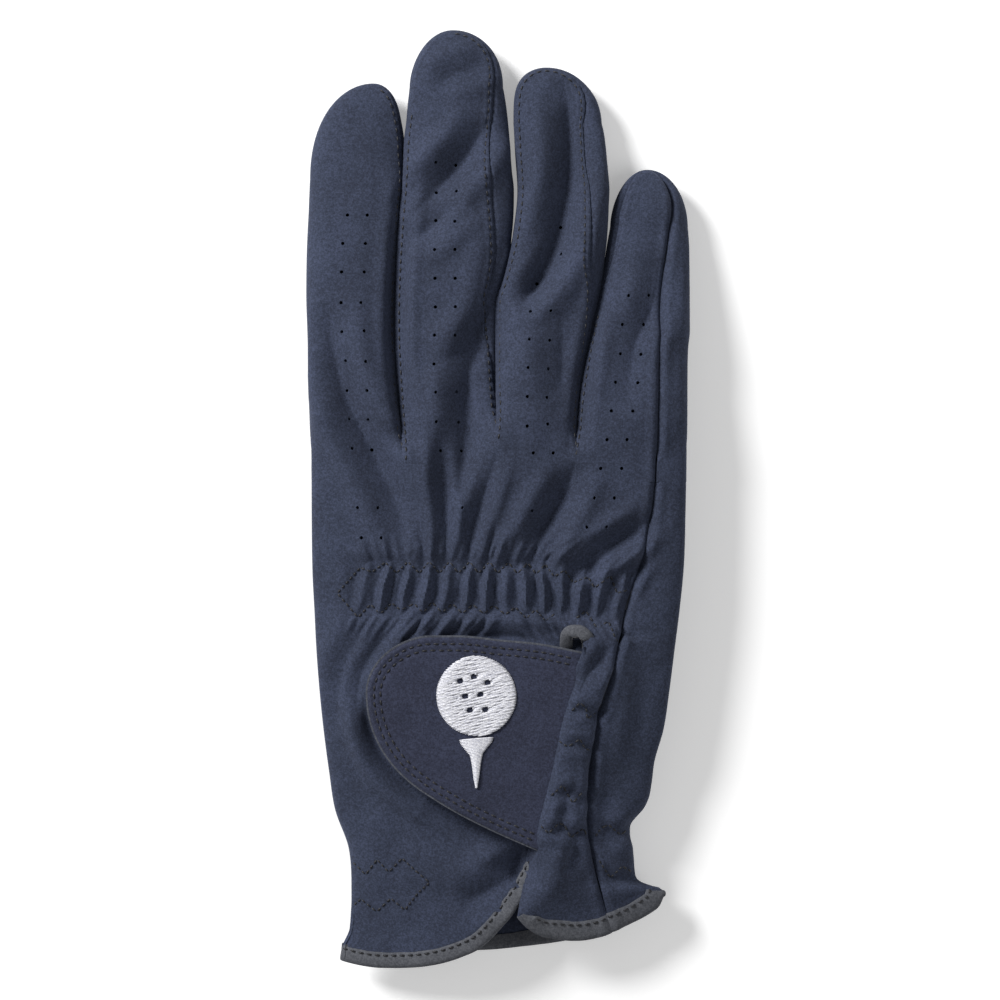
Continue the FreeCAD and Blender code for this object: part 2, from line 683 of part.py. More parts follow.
def edge_block(name, stations, side, reach):
    """The block outside a side seam of a finger; side is -1 towards the index edge."""
    def seam(x, z, width):
        return f"({x} + {side} * ({width} / 2 - {reach}))"
    def outer(x, z, width):
        return f"({x} + {side} * {width})"
    low_x, high_x = (outer, seam) if side < 0 else (seam, outer)
    return stations_block(name, stations, low_x, high_x, fixed(f"{under_all}"), fixed(f"{over_all}"))


def upper_block(name, stations):
    """Everything above a tube's middle height."""
    def middle(x, z, width):
        return z
    return stations_block(name, stations, fixed(f"-{beside}"), fixed(beside), middle, fixed(f"{over_all}"))


parts = {}
side_word = {-1: "inner", 1: "outer"}
fourchette_sides = {"index": [1], "middle": [-1, 1], "ring": [-1, 1], "little": [-1]}
for finger in fingers:
    stations = tube_stations(
        finger_middle[finger], tube_start, size(f"{finger}_long"),
        {"width": size(f"{finger}_root_width"), "depth": size("finger_root_depth")},
        {"width": size(f"{finger}_half_width"), "shift": size(f"{finger}_half_shift")},
        {"width": size(f"{finger}_tip_width"), "shift": size(f"{finger}_tip_shift"),
         "end_shift": size(f"{finger}_end_shift"), "depth": size("finger_tip_depth")},
        palm_rise)
    shell = tube_shell(finger, stations)
    back = common(f"{finger}_upper", shell, upper_block(f"{finger}_upper_block", stations))
    palm = shell
    for side in fourchette_sides[finger]:
        name = f"{finger}_{side_word[side]}_fourchette"
        block = edge_block(f"{name}_block", stations, side, size("fourchette_reach"))
        parts[name] = common(name, shell, block)
        back = cut(f"{finger}_upper_less_{side_word[side]}", back, block)
        palm = cut(f"{finger}_lower_less_{side_word[side]}", palm, block)
    if finger == "little":
        back = cut("little_upper_less_seam", back,
                   edge_block("little_seam_block", stations, 1, size("outer_seam_reach")))
    parts[f"{finger}_finger_back"] = back
    parts[f"{finger}_finger_palm"] = cut(f"{finger}_lower", palm, back)
    rims = []
    _, x, z, width, depth = stations[0]
    for place, grow in (("out", "0"), ("in", "(-sizes.wall)")):
        ends = [slot(f"{finger}_crease_{place}_{end}", x, y, z, width, depth, grow)
                for end, y in enumerate((hand_end, tube_start))]
        rims.append(loft(f"{finger}_crease_{place}", ends))
    parts[f"{finger}_knuckle_crease"] = cut(f"{finger}_knuckle_crease", *rims)

thumb_stations = tube_stations(
    "0", "0", size("thumb_long"),
    {"width": size("thumb_width"), "depth": size("thumb_depth")},
    {"width": f"((sizes.thumb_width + sizes.thumb_tip) / 2)", "shift": "0"},
    {"width": size("thumb_tip"), "shift": "0", "end_shift": "0", "depth": size("thumb_depth")},
    floor)
thumb_shell = tube_shell("thumb", thumb_stations)
thumb_upper = upper_block("thumb_upper_block", thumb_stations)
thumb_rims = []
for place, grow in (("out", "0"), ("in", "(-sizes.wall)")):
    _, x, z, width, depth = thumb_stations[0]
    ends = [slot(f"thumb_crease_{place}_{end}", x, y, z, width, depth, grow)
            for end, y in enumerate(("(-sizes.thumb_crease_long)", "0"))]
    thumb_rims.append(loft(f"thumb_crease_{place}", ends))
thumb_tube = cut("thumb_crease_tube", *thumb_rims)
thumb_parts = {
    "thumb_top": common("thumb_top", thumb_shell, thumb_upper),
    "thumb_base": cut("thumb_base", thumb_shell, thumb_upper),
    "thumb_crease": cut("thumb_crease", thumb_tube, table),
}
for name, made in thumb_parts.items():
    made.Placement.Rotation = FreeCAD.Rotation(V(0, 0, 1), 0)
    parts[name] = bind(made, {
        ".Placement.Base.x": f"-{knuckles_across} / 2 + sizes.thumb_root_in",
        ".Placement.Base.y": f"{hand_end} - sizes.thumb_root_back",
        ".Placement.Rotation.Angle": "-sizes.thumb_lean",
    })

parts.update({
    "back_panel": back_panel,
    "palm_panel": palm_panel,
    "back_flap": back_flap,
    "tab_cover": tab_cover,
    "tab_lining": tab_lining,
    "hook_patch": hook_patch,
    "loop_patch": loop_patch,
    "tab_anchor": tab_anchor,
    "embroidered_motif": embroidery,
    "knuckle_elastic": knuckle_elastic,
    "wrist_elastic": wrist_elastic,
    "flap_elastic": flap_elastic,
    "left_hem_binding": left_binding,
    "flap_hem_binding": flap_binding,
    "palm_hem_binding": palm_binding,
})

doc.recompute()
for thing in doc.Objects:
    if "Invalid" in thing.State or "Error" in thing.State:
        raise RuntimeError(f"{thing.Name} failed: {thing.State}")
os.makedirs("parts", exist_ok=True)
for name, made in parts.items():
    made.Label = name
    shape = made.Shape
    if shape.isNull() or not shape.isValid() or not shape.Solids:
        raise RuntimeError(f"{name} has no valid solid")
    shape.exportStep(os.path.join("parts", name + ".step"))
    print(f"{name}: {len(shape.Solids)} solid(s), {shape.Volume:.0f} mm3")
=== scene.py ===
# Golf glove for the right hand, back up, with its thumb folded under the palm.
# Lengths are worked in millimetres and turned to metres when a mesh is made.
import math

import bpy
import bmesh
import numpy as np
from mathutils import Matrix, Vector
from mathutils.bvhtree import BVHTree


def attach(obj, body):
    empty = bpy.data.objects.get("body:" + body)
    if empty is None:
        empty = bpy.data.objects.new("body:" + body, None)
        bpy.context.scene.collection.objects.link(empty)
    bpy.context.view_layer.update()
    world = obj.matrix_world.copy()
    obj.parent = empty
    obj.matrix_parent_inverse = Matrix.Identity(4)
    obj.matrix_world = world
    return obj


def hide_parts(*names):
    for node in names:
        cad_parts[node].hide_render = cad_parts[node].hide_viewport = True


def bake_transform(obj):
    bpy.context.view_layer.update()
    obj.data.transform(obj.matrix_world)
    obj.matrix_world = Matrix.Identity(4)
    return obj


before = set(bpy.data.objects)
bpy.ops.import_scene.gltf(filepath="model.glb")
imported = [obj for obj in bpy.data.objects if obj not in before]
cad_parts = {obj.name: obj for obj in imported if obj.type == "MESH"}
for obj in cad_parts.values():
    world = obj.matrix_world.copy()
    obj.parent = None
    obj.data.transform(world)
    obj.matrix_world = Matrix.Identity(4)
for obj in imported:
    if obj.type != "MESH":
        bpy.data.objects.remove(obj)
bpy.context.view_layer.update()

millimetre = 0.001  # in metres


def smoothLine(points):
    # a smooth curve through (place, value) pairs, read as the value at any place
    places, values = np.array(sorted(points), float).T
    steps = np.diff(values) / np.diff(places)
    slopes = np.gradient(values, places)
    before, after = np.append(steps[:1], steps), np.append(steps, steps[-1:])
    limit = 3 * np.minimum(np.abs(before), np.abs(after)) * (before * after > 0)
    slopes = np.clip(slopes, -limit, limit)

    def at(place):
        p = np.clip(np.asarray(place, float), places[0], places[-1])
        k = np.clip(np.searchsorted(places, p) - 1, 0, len(places) - 2)
        h = places[k + 1] - places[k]
        t = (p - places[k]) / h
        a = values[k] * (2 * t**3 - 3 * t**2 + 1) + values[k + 1] * (3 * t**2 - 2 * t**3)
        return a + h * (slopes[k] * (t**3 - 2 * t**2 + t) + slopes[k + 1] * (t**3 - t**2))
    return at


def ease(t):
    t = np.clip(t, 0, 1)
    return t * t * (3 - 2 * t)


def runAlong(path):
    # distance along a line of points, from its start to each of them
    return np.concatenate([[0], np.cumsum(np.linalg.norm(np.diff(path, axis=0), axis=1))])


def unit(vectors):
    # the same directions, each of length 1
    return vectors / np.linalg.norm(vectors, axis=1)[:, None]


def pointsAt(path, run, places):
    # the points of a line at given distances along it
    return np.stack([np.interp(places, run, values) for values in path.T], axis=-1)


def curveThrough(points, spacing=0.5):
    # a smooth plan curve through a few points, as evenly spaced points
    path = np.array(points, float)
    if len(path) > 2:
        run = runAlong(path)
        fine = np.linspace(0, run[-1], 40 * len(path))
        path = np.stack([smoothLine(list(zip(run, values)))(fine) for values in path.T], axis=1)
    run = runAlong(path)
    count = max(2, int(round(run[-1] / spacing)) + 1)
    return pointsAt(path, run, np.linspace(0, run[-1], count))


def ripple(x, y, scale, seed, cells=64):
    # smooth noise between about -1 and 1, with features of one scale in millimetres
    turns = np.random.RandomState(seed).rand(cells, cells) * 2 * math.pi
    u, v = np.asarray(x) / scale + 100, np.asarray(y) / scale + 100
    i, j = np.floor(u).astype(int), np.floor(v).astype(int)
    fu, fv = u - i, v - j
    total = 0
    for di in (0, 1):
        for dj in (0, 1):
            turn = turns[(i + di) % cells, (j + dj) % cells]
            part = np.cos(turn) * (fu - di) + np.sin(turn) * (fv - dj)
            total = total + part * ease(1 - np.abs(fu - di)) * ease(1 - np.abs(fv - dj))
    return total * 1.6


def uneven(x, y, ripples):
    # several ripples together, each given as its height, scale and seed
    return sum(height * ripple(x, y, scale, seed) for height, scale, seed in ripples)


foldForm = {"deeper": 1.25, "wider": 1.25, "shift": (0.8, -0.4), "reach": 4.5, "shoulder": 0.42,
            "shoulderAt": 2.1, "shoulderWidth": 0.9}


def foldField(x, y, folds):
    # height of the listed folds: (depth, half width, points); a negative depth is a raised fold
    height = np.zeros(np.shape(x))
    for depth, width, points in folds:
        line = curveThrough(points, 0.4) + np.array(foldForm["shift"])
        depth, width = depth * foldForm["deeper"], width * foldForm["wider"]
        reach = foldForm["reach"] * width
        low, high = line.min(axis=0) - reach, line.max(axis=0) + reach
        near = (x > low[0]) & (x < high[0]) & (y > low[1]) & (y < high[1])
        if not near.any():
            continue
        px, py = x[near], y[near]
        best = np.full(px.shape, 1e9)
        where = np.zeros(px.shape)
        for k, (lx, ly) in enumerate(line):
            d = (px - lx) ** 2 + (py - ly) ** 2
            closer = d < best
            best = np.where(closer, d, best)
            where = np.where(closer, k, where)
        t = np.sqrt(best) / width
        fade = np.sin(np.pi * np.clip((where + 0.5) / len(line), 0, 1)) ** 0.7
        if depth > 0:
            beside = (t - foldForm["shoulderAt"]) / foldForm["shoulderWidth"]
            shape = -np.exp(-t**1.35) + foldForm["shoulder"] * np.exp(-beside ** 2)
        else:
            shape = -np.exp(-t**2)
        height[near] += depth * fade * shape
    return height


def gridNormals(grid):
    # the direction that the cloth faces at each point of its grid; a tip's single point faces along Y
    across = np.gradient(grid, axis=1)
    along = np.gradient(grid, axis=0)
    normal = np.cross(across, along)
    size = np.linalg.norm(normal, axis=2, keepdims=True)
    normal = np.where(size > 1e-9, normal / np.maximum(size, 1e-9), 0)
    for row in (0, -1):
        if np.abs(normal[row]).sum() < 1:
            normal[row] = [0, 1 if row else -1, 0]
    return normal


def toPrint(stage):
    print("glove:", stage)


def newObject(name, vertices, faces, material):
    if name in bpy.data.objects:
        name = name + "_sewn"  # stands for the CAD node of that name
    mesh = bpy.data.meshes.new(name)
    mesh.from_pydata([tuple(millimetre * c for c in v) for v in vertices], [], faces)
    mesh.materials.append(material)
    obj = bpy.data.objects.new(name, mesh)
    bpy.context.scene.collection.objects.link(obj)
    bm = bmesh.new()
    bm.from_mesh(mesh)
    bmesh.ops.remove_doubles(bm, verts=bm.verts, dist=2e-6)
    loose = [v for v in bm.verts if not v.link_faces]
    bmesh.ops.delete(bm, geom=loose, context="VERTS")
    bm.to_mesh(mesh)
    bm.free()
    mesh.polygons.foreach_set("use_smooth", [True] * len(mesh.polygons))
    return obj


def gridFaces(rows, columns, skip=(), offset=0, flip=False):
    # the four-sided faces of a grid of points, without those in skip
    faces = []
    for r in range(rows - 1):
        for c in range(columns - 1):
            if (r, c) not in skip:
                a = offset + r * columns + c
                face = (a, a + 1, a + columns + 1, a + columns)
                faces.append(face[::-1] if flip else face)
    return faces


def punch(grid, holes, radius):
    # makes round holes at the grid points nearest to the given plan places, where the cloth faces up
    normal = gridNormals(grid)
    normal = normal * (1 if normal[..., 2].mean() > 0 else -1)
    skip = set()
    rows, columns = grid.shape[:2]
    for hx, hy in holes:
        far = (grid[..., 0] - hx) ** 2 + (grid[..., 1] - hy) ** 2 + 1e3 * (normal[..., 2] < 0.25)
        r, c = np.unravel_index(np.argmin(far), far.shape)
        if far[r, c] > 1.0 or not (2 < r < rows - 3 and 2 < c < columns - 3):
            continue
        middle, up = grid[r, c].copy(), normal[r, c]
        for dr in (-1, 0, 1):
            for dc in (-1, 0, 1):
                if dr or dc:
                    arm = grid[r + dr, c + dc] - middle
                    rise = up * (arm @ up)
                    flat = arm - rise
                    grid[r + dr, c + dc] = middle + flat / np.linalg.norm(flat) * radius + 0.5 * rise
        skip |= {(r - 1, c - 1), (r - 1, c), (r, c - 1), (r, c)}
    return skip


def thicken(obj, thickness, rimMaterial=None):
    # gives cloth its thickness, inwards, so that its outer face stays where it is
    solid = obj.modifiers.new("thickness", "SOLIDIFY")
    solid.thickness = thickness * millimetre
    solid.offset = -1
    if rimMaterial:
        obj.data.materials.append(rimMaterial)
        solid.material_offset_rim = len(obj.data.materials) - 1
    bpy.ops.object.select_all(action="DESELECT")
    obj.select_set(True)
    bpy.context.view_layer.objects.active = obj
    bpy.ops.object.modifier_apply(modifier=solid.name)
    obj.data.set_sharp_from_angle(angle=math.radians(55))


def turnFaces(obj, upward=None):
    # faces all look out of the piece; upward says which way an open cloth should look
    bm = bmesh.new()
    bm.from_mesh(obj.data)
    bmesh.ops.recalc_face_normals(bm, faces=bm.faces)
    lean = sum(face.normal.z * face.calc_area() for face in bm.faces)
    if upward is not None and (lean > 0) != upward:
        bmesh.ops.reverse_faces(bm, faces=bm.faces)
    bm.to_mesh(obj.data)
    bm.free()


def cutCloth(nodes, grid, material, thickness, upward=None, flip=False, skip=(), rim=None):
    # a piece of cloth from a grid of points, in place of the CAD nodes named
    faces = gridFaces(*grid.shape[:2], skip, flip=flip)
    obj = newObject(nodes[0], grid.reshape(-1, 3), faces, material)
    if upward is not None:
        turnFaces(obj, upward)
    thicken(obj, thickness, rim)
    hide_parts(*nodes)
    return obj


def treeOf(grids):
    # a search tree over several grids, to set stitches down on the cloth from above
    vertices, faces = [], []
    for grid in grids:
        faces += gridFaces(*grid.shape[:2], offset=len(vertices))
        vertices += [Vector(p) for p in grid.reshape(-1, 3)]
    return BVHTree.FromPolygons(vertices, faces)


def onTop(tree, x, y, top=60):
    # the highest point of the cloth at a plan place and its normal, or None beside the cloth
    hit = tree.ray_cast(Vector((x, y, top)), Vector((0, 0, -1)))
    if hit[0] is None:
        return None
    normal = hit[1] if hit[1].z > 0 else -hit[1]
    return np.array(hit[0]), np.array(normal)


def linear(hexColour):
    # a screen colour as the linear values that a shader takes
    parts = [int(hexColour[k:k + 2], 16) / 255 for k in (1, 3, 5)]
    return [p / 12.92 if p <= 0.04045 else ((p + 0.055) / 1.055) ** 2.4 for p in parts] + [1]


def addNode(tree, kind, links=None, **settings):
    # a shader node; settings are its properties or inputs, links say what feeds its inputs
    node = tree.nodes.new(kind)
    for key, value in settings.items():
        if hasattr(node, key):
            setattr(node, key, value)
        else:
            node.inputs[key.replace("_", " ")].default_value = value
    for socket, source in (links or {}).items():
        tree.links.new(source, node.inputs[socket])
    return node


def startMaterial(name, roughness, sheen=0.0, sheenTint="#ffffff", ior=1.5):
    material = bpy.data.materials.new(name)
    material.use_nodes = True
    tree = material.node_tree
    shader = tree.nodes["Principled BSDF"]
    shader.inputs["Roughness"].default_value = roughness
    shader.inputs["IOR"].default_value = ior
    shader.inputs["Sheen Weight"].default_value = sheen
    shader.inputs["Sheen Roughness"].default_value = 0.45
    shader.inputs["Sheen Tint"].default_value = linear(sheenTint)
    place = addNode(tree, "ShaderNodeTexCoord").outputs["Object"]
    return material, tree, shader, place


def ramp(tree, factor, stops):
    # a colour that follows a factor through (position, colour) stops
    node = addNode(tree, "ShaderNodeValToRGB", {"Fac": factor})
    elements = node.color_ramp.elements
    while len(elements) < len(stops):
        elements.new(0.5)
    for element, (position, colour) in zip(elements, stops):
        element.position = position
        element.color = linear(colour)
    return node.outputs["Color"]


def brushedMicrofibre(name, dark, middle, light, sheen=0.25):
    # suede-like microfibre: a short brushed nap that catches light in soft patches, with no gloss
    # each pattern's size in mm, detail and roughness
    nap = {"fibre": (0.2, 3.0, 0.7), "tuft": (0.4, 4.0, 0.6), "patch": (7.0, 3.0, 0.55)}
    patchShare = 0.45  # of the whole, where fibre and tuft count 1 each
    material, tree, shader, place = startMaterial(name, 0.92, sheen, "#8e97b4", 1.4)
    fibre, tuft, patch = (
        addNode(tree, "ShaderNodeTexNoise", {"Vector": place}, Scale=1000 / size / 2, Detail=detail,
                Roughness=rough).outputs["Fac"] for size, detail, rough in nap.values())
    fine = addNode(tree, "ShaderNodeMath", {0: fibre, 1: tuft}, operation="ADD").outputs[0]
    softPatch = addNode(tree, "ShaderNodeMath", {0: patch}, operation="MULTIPLY")
    softPatch.inputs[1].default_value = patchShare
    mixed = addNode(tree, "ShaderNodeMath", {0: fine, 1: softPatch.outputs[0]}, operation="ADD").outputs[0]
    share = addNode(tree, "ShaderNodeMath", {0: mixed}, operation="DIVIDE")
    share.inputs[1].default_value = 2 + patchShare
    colour = ramp(tree, share.outputs[0], [(0.4, dark), (0.5, middle), (0.6, light)])
    tree.links.new(colour, shader.inputs["Base Color"])
    bump = addNode(tree, "ShaderNodeBump", {"Height": fine}, Strength=0.22, Distance=0.00012)
    tree.links.new(bump.outputs["Normal"], shader.inputs["Normal"])
    return material


def wovenTape(name, dark, light, thread):
    # plain woven tape: crossing threads, dull; its colour is painted shade in the gaps between the threads
    # and a painted highlight on their crowns
    material, tree, shader, place = startMaterial(name, 0.8, 0.15)
    waves = []
    for direction in ("X", "Y"):
        waves.append(addNode(tree, "ShaderNodeTexWave", {"Vector": place}, bands_direction=direction,
                             Scale=1000 / thread * 0.05, Distortion=0.6, Detail=1.0).outputs["Fac"])
    weave = addNode(tree, "ShaderNodeMath", {0: waves[0], 1: waves[1]}, operation="MULTIPLY").outputs[0]
    # painted shade and highlight: the colour darkens where the weave dips between threads and lightens on
    # their crowns
    colour = ramp(tree, weave, [(0.0, dark), (0.6, light)])
    tree.links.new(colour, shader.inputs["Base Color"])
    bump = addNode(tree, "ShaderNodeBump", {"Height": weave}, Strength=0.5, Distance=0.0002)
    tree.links.new(bump.outputs["Normal"], shader.inputs["Normal"])
    return material


def spunThread(name, dark, light, gloss=0.55):
    # polyester sewing thread: soft gloss, slightly uneven colour from its twist
    material, tree, shader, place = startMaterial(name, gloss, 0.1)
    twist = addNode(tree, "ShaderNodeTexNoise", {"Vector": place}, Scale=2600.0, Detail=2.0)
    tree.links.new(ramp(tree, twist.outputs["Fac"], [(0.35, dark), (0.65, light)]),
                   shader.inputs["Base Color"])
    return material


microfibre = brushedMicrofibre("brushedMicrofibre", "#252a3a", "#2f3648", "#3b4258")
tabMicrofibre = brushedMicrofibre("tabMicrofibre", "#232636", "#2d3144", "#373c51", 0.15)
cutEdge = brushedMicrofibre("cutEdgeBacking", "#3d4049", "#4b4e57", "#5b5e66", 0.1)
tape = brushedMicrofibre("bindingTape", "#43454b", "#4f5157", "#5c5e64", 0.1)
navyThread = spunThread("navyThread", "#0b0b10", "#1a1a22")
whiteThread = spunThread("rayonEmbroideryThread", "#c4c5d0", "#f0f0f4", 0.4)
hookTape = wovenTape("nylonHookTape", "#14161d", "#262a35", 0.9)
loopTape = brushedMicrofibre("nylonLoopPile", "#12141b", "#1d202a", "#2b2f3c", 0.4)
elasticWebbing = wovenTape("elasticWebbing", "#20232d", "#343846", 0.8)
toPrint("finishes made")


# the hand's outline, its heights and its outer seam, each against Y
hand = {
    "left": [(12, -46.75), (-18, -46.5), (-28, -46), (-38, -45.5), (-48, -44.75), (-58, -43.75),
             (-68, -42.5), (-78, -41), (-88, -37.6), (-98, -37), (-108, -37.4), (-110.5, -38.5),
             (-112.5, -39.4), (-118, -39.6)],
    "right": [(12, 46.75), (-3, 46.5), (-18, 46), (-28, 45), (-38, 43.75), (-48, 42.5), (-58, 41),
              (-66, 38.8), (-71, 38.2), (-75.5, 37.3), (-78, 36), (-80, 34.2), (-82, 32.8),
              (-84, 32.8), (-88, 33.5), (-93, 34), (-95.4, 34.5), (-96.6, 36.4), (-97.3, 39.4), (-98.2, 41),
              (-100.5, 41.7), (-103, 42), (-112, 41)],
    "top": [(30, 19.6), (6, 19.6), (-30, 19.2), (-86, 15.1), (-118, 12.8)],
    "bottom": [(30, 6.6), (-50, 6.6), (-60, 5.6), (-75, 2.2), (-86, 0.4), (-118, 0.4)],
    "squareness": [(30, 3.2), (-60, 3.2), (-92, 2.4), (-103, 1.6), (-118, 1.35)],
    "ulnarSeam": [(24, 39.5), (12, 39.25), (-5.5, 37.75), (-16.75, 35.25), (-28, 31.5), (-40.5, 29),
                  (-53, 25.25), (-68, 23), (-80.5, 22.25), (-93, 24.25), (-101.75, 26.5), (-112, 29)],
    "skinStart": 4.0,       # where the finger skins take over from the back
    "cloth": 0.75,
}
handLeft, handRight = smoothLine(hand["left"]), smoothLine(hand["right"])
handTop, handBottom = smoothLine(hand["top"]), smoothLine(hand["bottom"])
ulnarSeam = smoothLine(hand["ulnarSeam"])
handSquareness = smoothLine(hand["squareness"])

# the opening of the back and the raised flap beside it
slit = {
    "top": -35.0, "topX": 20.8,
    "flapEdge": [(-35, 20.8), (-38, 20.6), (-45.5, 18.25), (-53, 15.75), (-60.5, 14), (-68, 12.5),
                 (-75.5, 10.5), (-83, 9), (-88, 7.9), (-95.5, 6.75), (-101.75, 5.4), (-112, 4)],
    "tuck": 7.0,            # how far the back reaches in under the flap
    "rise": [(-28, 0), (-31, 0.7), (-34, 2.4), (-37, 3.7), (-43, 3.9), (-60, 4.0), (-82, 3.8), (-90, 2.7),
             (-98, 1.7), (-112, 1.4)],
    "slope": 19.0, "liftFrom": 1.5, "tuckOver": 10,
}
flapEdge, flapRise = smoothLine(slit["flapEdge"]), smoothLine(slit["rise"])


def handHeights(x, y):
    # height of the upper and lower skin of the hand at a plan place
    middle = (handLeft(y) + handRight(y)) / 2
    reach = (handRight(y) - handLeft(y)) / 2
    u = np.clip(np.abs(x - middle) / reach, 0, 1)
    n = handSquareness(y)
    arch = (1 - u**n) ** (1 / n)
    centre = (handTop(y) + handBottom(y)) / 2
    half = (handTop(y) - handBottom(y)) / 2
    return centre + half * arch, centre - half * arch


folds = [
    # depth, half width, points along the valley
    # middle finger
    (1.1, 2.0, [(-3.5, 110.8), (-8, 107.6), (-12.6, 106.4), (-17.2, 102.6)]),
    (3.1, 2.7, [(-3.0, 95), (-7, 88.8), (-11.8, 83), (-16.8, 77.4), (-23.4, 70)]),
    (1.9, 2.4, [(-9, 75.4), (-17.4, 68.6), (-24.4, 63)]),
    (1.3, 2.4, [(3.4, 68), (-0.5, 58.8), (-2.6, 48), (-8, 38.5), (-21.75, 32)]),
    (3.5, 3.3, [(-1.4, 45), (-5.2, 37), (-7.6, 30), (-8.2, 20), (-9.6, 10), (-11.6, -1)]),
    # ring finger
    (3.9, 2.9, [(14.9, 106), (16.8, 98), (17.4, 88.8), (16.8, 79.5), (15.4, 72.6), (13.4, 65), (10.6, 58.4),
                (6.6, 53), (2.4, 48.4)]),
    (1.4, 3.0, [(15, 47), (15.4, 36), (15.4, 25)]),
    (-1.3, 3.2, [(5.6, 42), (6.4, 26), (6.4, 12), (4.6, 1)]),
    (1.3, 2.0, [(11, 57.4), (7.2, 52), (3.4, 47.4)]),
    (0.7, 1.7, [(16.2, 70), (13.6, 62), (9.6, 55), (3.5, 47.6)]),
    (1.1, 1.3, [(26.2, 62), (24.0, 50), (22.1, 38), (20.1, 24), (19.2, 12)]),
    # index finger
    (1.7, 1.5, [(-23.6, 84), (-24.8, 70), (-25.8, 56), (-26.2, 42), (-25.2, 28), (-23.6, 15)]),
    # little finger
    (0.5, 2.4, [(31, 70), (37, 68), (43, 66.5)]),
    (0.5, 2.6, [(40, 60), (38.7, 46), (38, 30), (37.5, 16)]),
    (1.6, 2.5, [(39.8, 70), (39.2, 58), (37.2, 47), (33.4, 39.6), (31.6, 30), (31, 20)]),
    # above the gathered band
    (3.3, 2.7, [(-43.8, 49.5), (-40.6, 31), (-35.2, 17.5), (-29.6, 6), (-25.2, -4), (-22.2, -12.4)]),
    (0.6, 0.9, [(-34.1, -10.5), (-32.4, -14.5), (-30.4, -18.4)]),
    (0.8, 0.9, [(-20.9, -6.5), (-19.8, -11.75), (-19.3, -18)]),
    (1.7, 1.35, [(-15.4, 17), (-14.9, 3.9), (-13.9, -8.6), (-13.7, -18.4)]),
    (1.8, 1.5, [(-0.6, 13), (-4.1, 2), (-7.2, -7.4), (-9.3, -18.2)]),
    (0.9, 0.9, [(-1.4, -5.4), (-3.2, -13), (-4.6, -18.2)]),
    (0.9, 0.9, [(4.2, -8.4), (1.6, -13.6), (0.3, -18.4)]),
    (3.2, 2.4, [(18.2, 9), (16.0, 2.4), (12.6, -3.6), (9.4, -9.6), (6.4, -18.4)]),
    (0.9, 0.9, [(15.4, -7.2), (11.8, -13.6), (9.8, -18.4)]),
    (2.6, 1.9, [(38, -3.6), (34.2, -7), (28, -10.8), (22, -14.8), (16.6, -20)]),
    (1.0, 1.2, [(36.8, -13.6), (32.75, -18), (29.6, -23.6)]),
    (0.8, 0.9, [(23.8, -14.8), (19, -20.6)]),
    (0.8, 0.9, [(29.6, -17.2), (25.4, -22)]),
    # below the gathered band
    (1.0, 2.1, [(-29.4, -27.6), (-35.4, -34.25), (-40.4, -45.5), (-41.6, -58)]),
    (1.3, 1.4, [(-24.3, -27.2), (-29.75, -34.9), (-34.75, -43), (-36.6, -54)]),
    (1.0, 0.9, [(-19, -27.6), (-22.6, -33.2), (-25, -36)]),
    (1.0, 0.9, [(-14, -27.6), (-17.25, -32), (-20, -34.6)]),
    (1.0, 0.9, [(-9, -28), (-11.6, -32), (-14.6, -34.6)]),
    (0.8, 0.9, [(-3.6, -28), (-5.4, -31), (-8.4, -34)]),
    (1.0, 0.9, [(5.25, -28), (7.2, -31), (11, -34.6)]),
    (1.0, 0.9, [(9, -28), (11.6, -31), (16, -35.2)]),
    (1.5, 1.7, [(-19, -34.4), (-4, -34), (8, -34.6), (16, -36.4)]),
    # below and beside the tab, at the wrist
    (0.6, 2.4, [(-40.5, -60), (-36, -68), (-33, -80)]),
    (2.0, 3.4, [(-20, -76.5), (-12, -81.5), (-3, -86.5), (8, -92)]),
    (1.7, 3.0, [(9, -91.5), (-1, -96.4), (-11, -101.2)]),
    (0.5, 2.6, [(-41.5, -72), (-39.75, -75.5), (-36.5, -80)]),
    (2.3, 1.5, [(-34.2, -49), (-33.6, -55), (-31.4, -61.4), (-27.6, -67.4), (-22.9, -72), (-16.5, -76.4),
                (-10, -80.2), (-2.6, -84.1), (4, -87)]),
    (-1.2, 2.4, [(-37.2, -48), (-36.8, -57), (-35, -66), (-31, -73)]),
    (2.6, 3.0, [(4.8, -86), (4.4, -91), (2.6, -95)]),
    # flap: pinned rows of the elastic and the creases between them
    (1.1, 1.3, [(27.6, -35.5), (24.6, -39.5), (21.4, -43.5), (19.4, -47)]),
    (0.73, 1.0, [(16.6, -52.6), (20, -51.8), (25, -54)]), (0.73, 0.9, [(25.2, -50.5), (22.2, -54.6)]),
    (0.73, 1.0, [(14, -60.6), (18, -60.4), (23.4, -62.4)]),
    (0.65, 0.9, [(21.4, -62), (21.9, -67), (21.4, -73)]),
    (0.73, 1.0, [(12, -73.6), (16, -72.4), (21.6, -74.4)]), (0.65, 0.9, [(21.4, -72.5), (18, -76.4)]),
    (0.81, 1.0, [(16.9, -71), (15, -78), (13.6, -83.5)]),
    (0.73, 1.0, [(9.4, -81.6), (15, -82), (22.4, -84)]), (0.65, 0.9, [(21.4, -79), (18.2, -84)]),
    (0.65, 1.3, [(17.9, -84), (17.2, -88.5), (15.2, -92)]),
    (0.41, 1.6, [(10.4, -84), (9.6, -90), (8.6, -96)]),
    # palm cloth turned up beside it, at the wrist
    (-1.0, 2.6, [(31, -40), (30, -50), (28.4, -60), (27.4, -68)]),
    (-1.3, 3.4, [(27.6, -74), (28.2, -86), (28.4, -99)]),
    (0.73, 1.7, [(24.2, -72), (24.6, -78), (26, -83.4)]),
    (0.81, 1.5, [(24, -83.6), (29, -83), (35, -82.4)]),
    (0.73, 1.5, [(24.6, -91), (28.6, -95), (35.4, -94)]), (0.49, 1.6, [(41, -95), (34, -98.6), (29, -100)]),
]

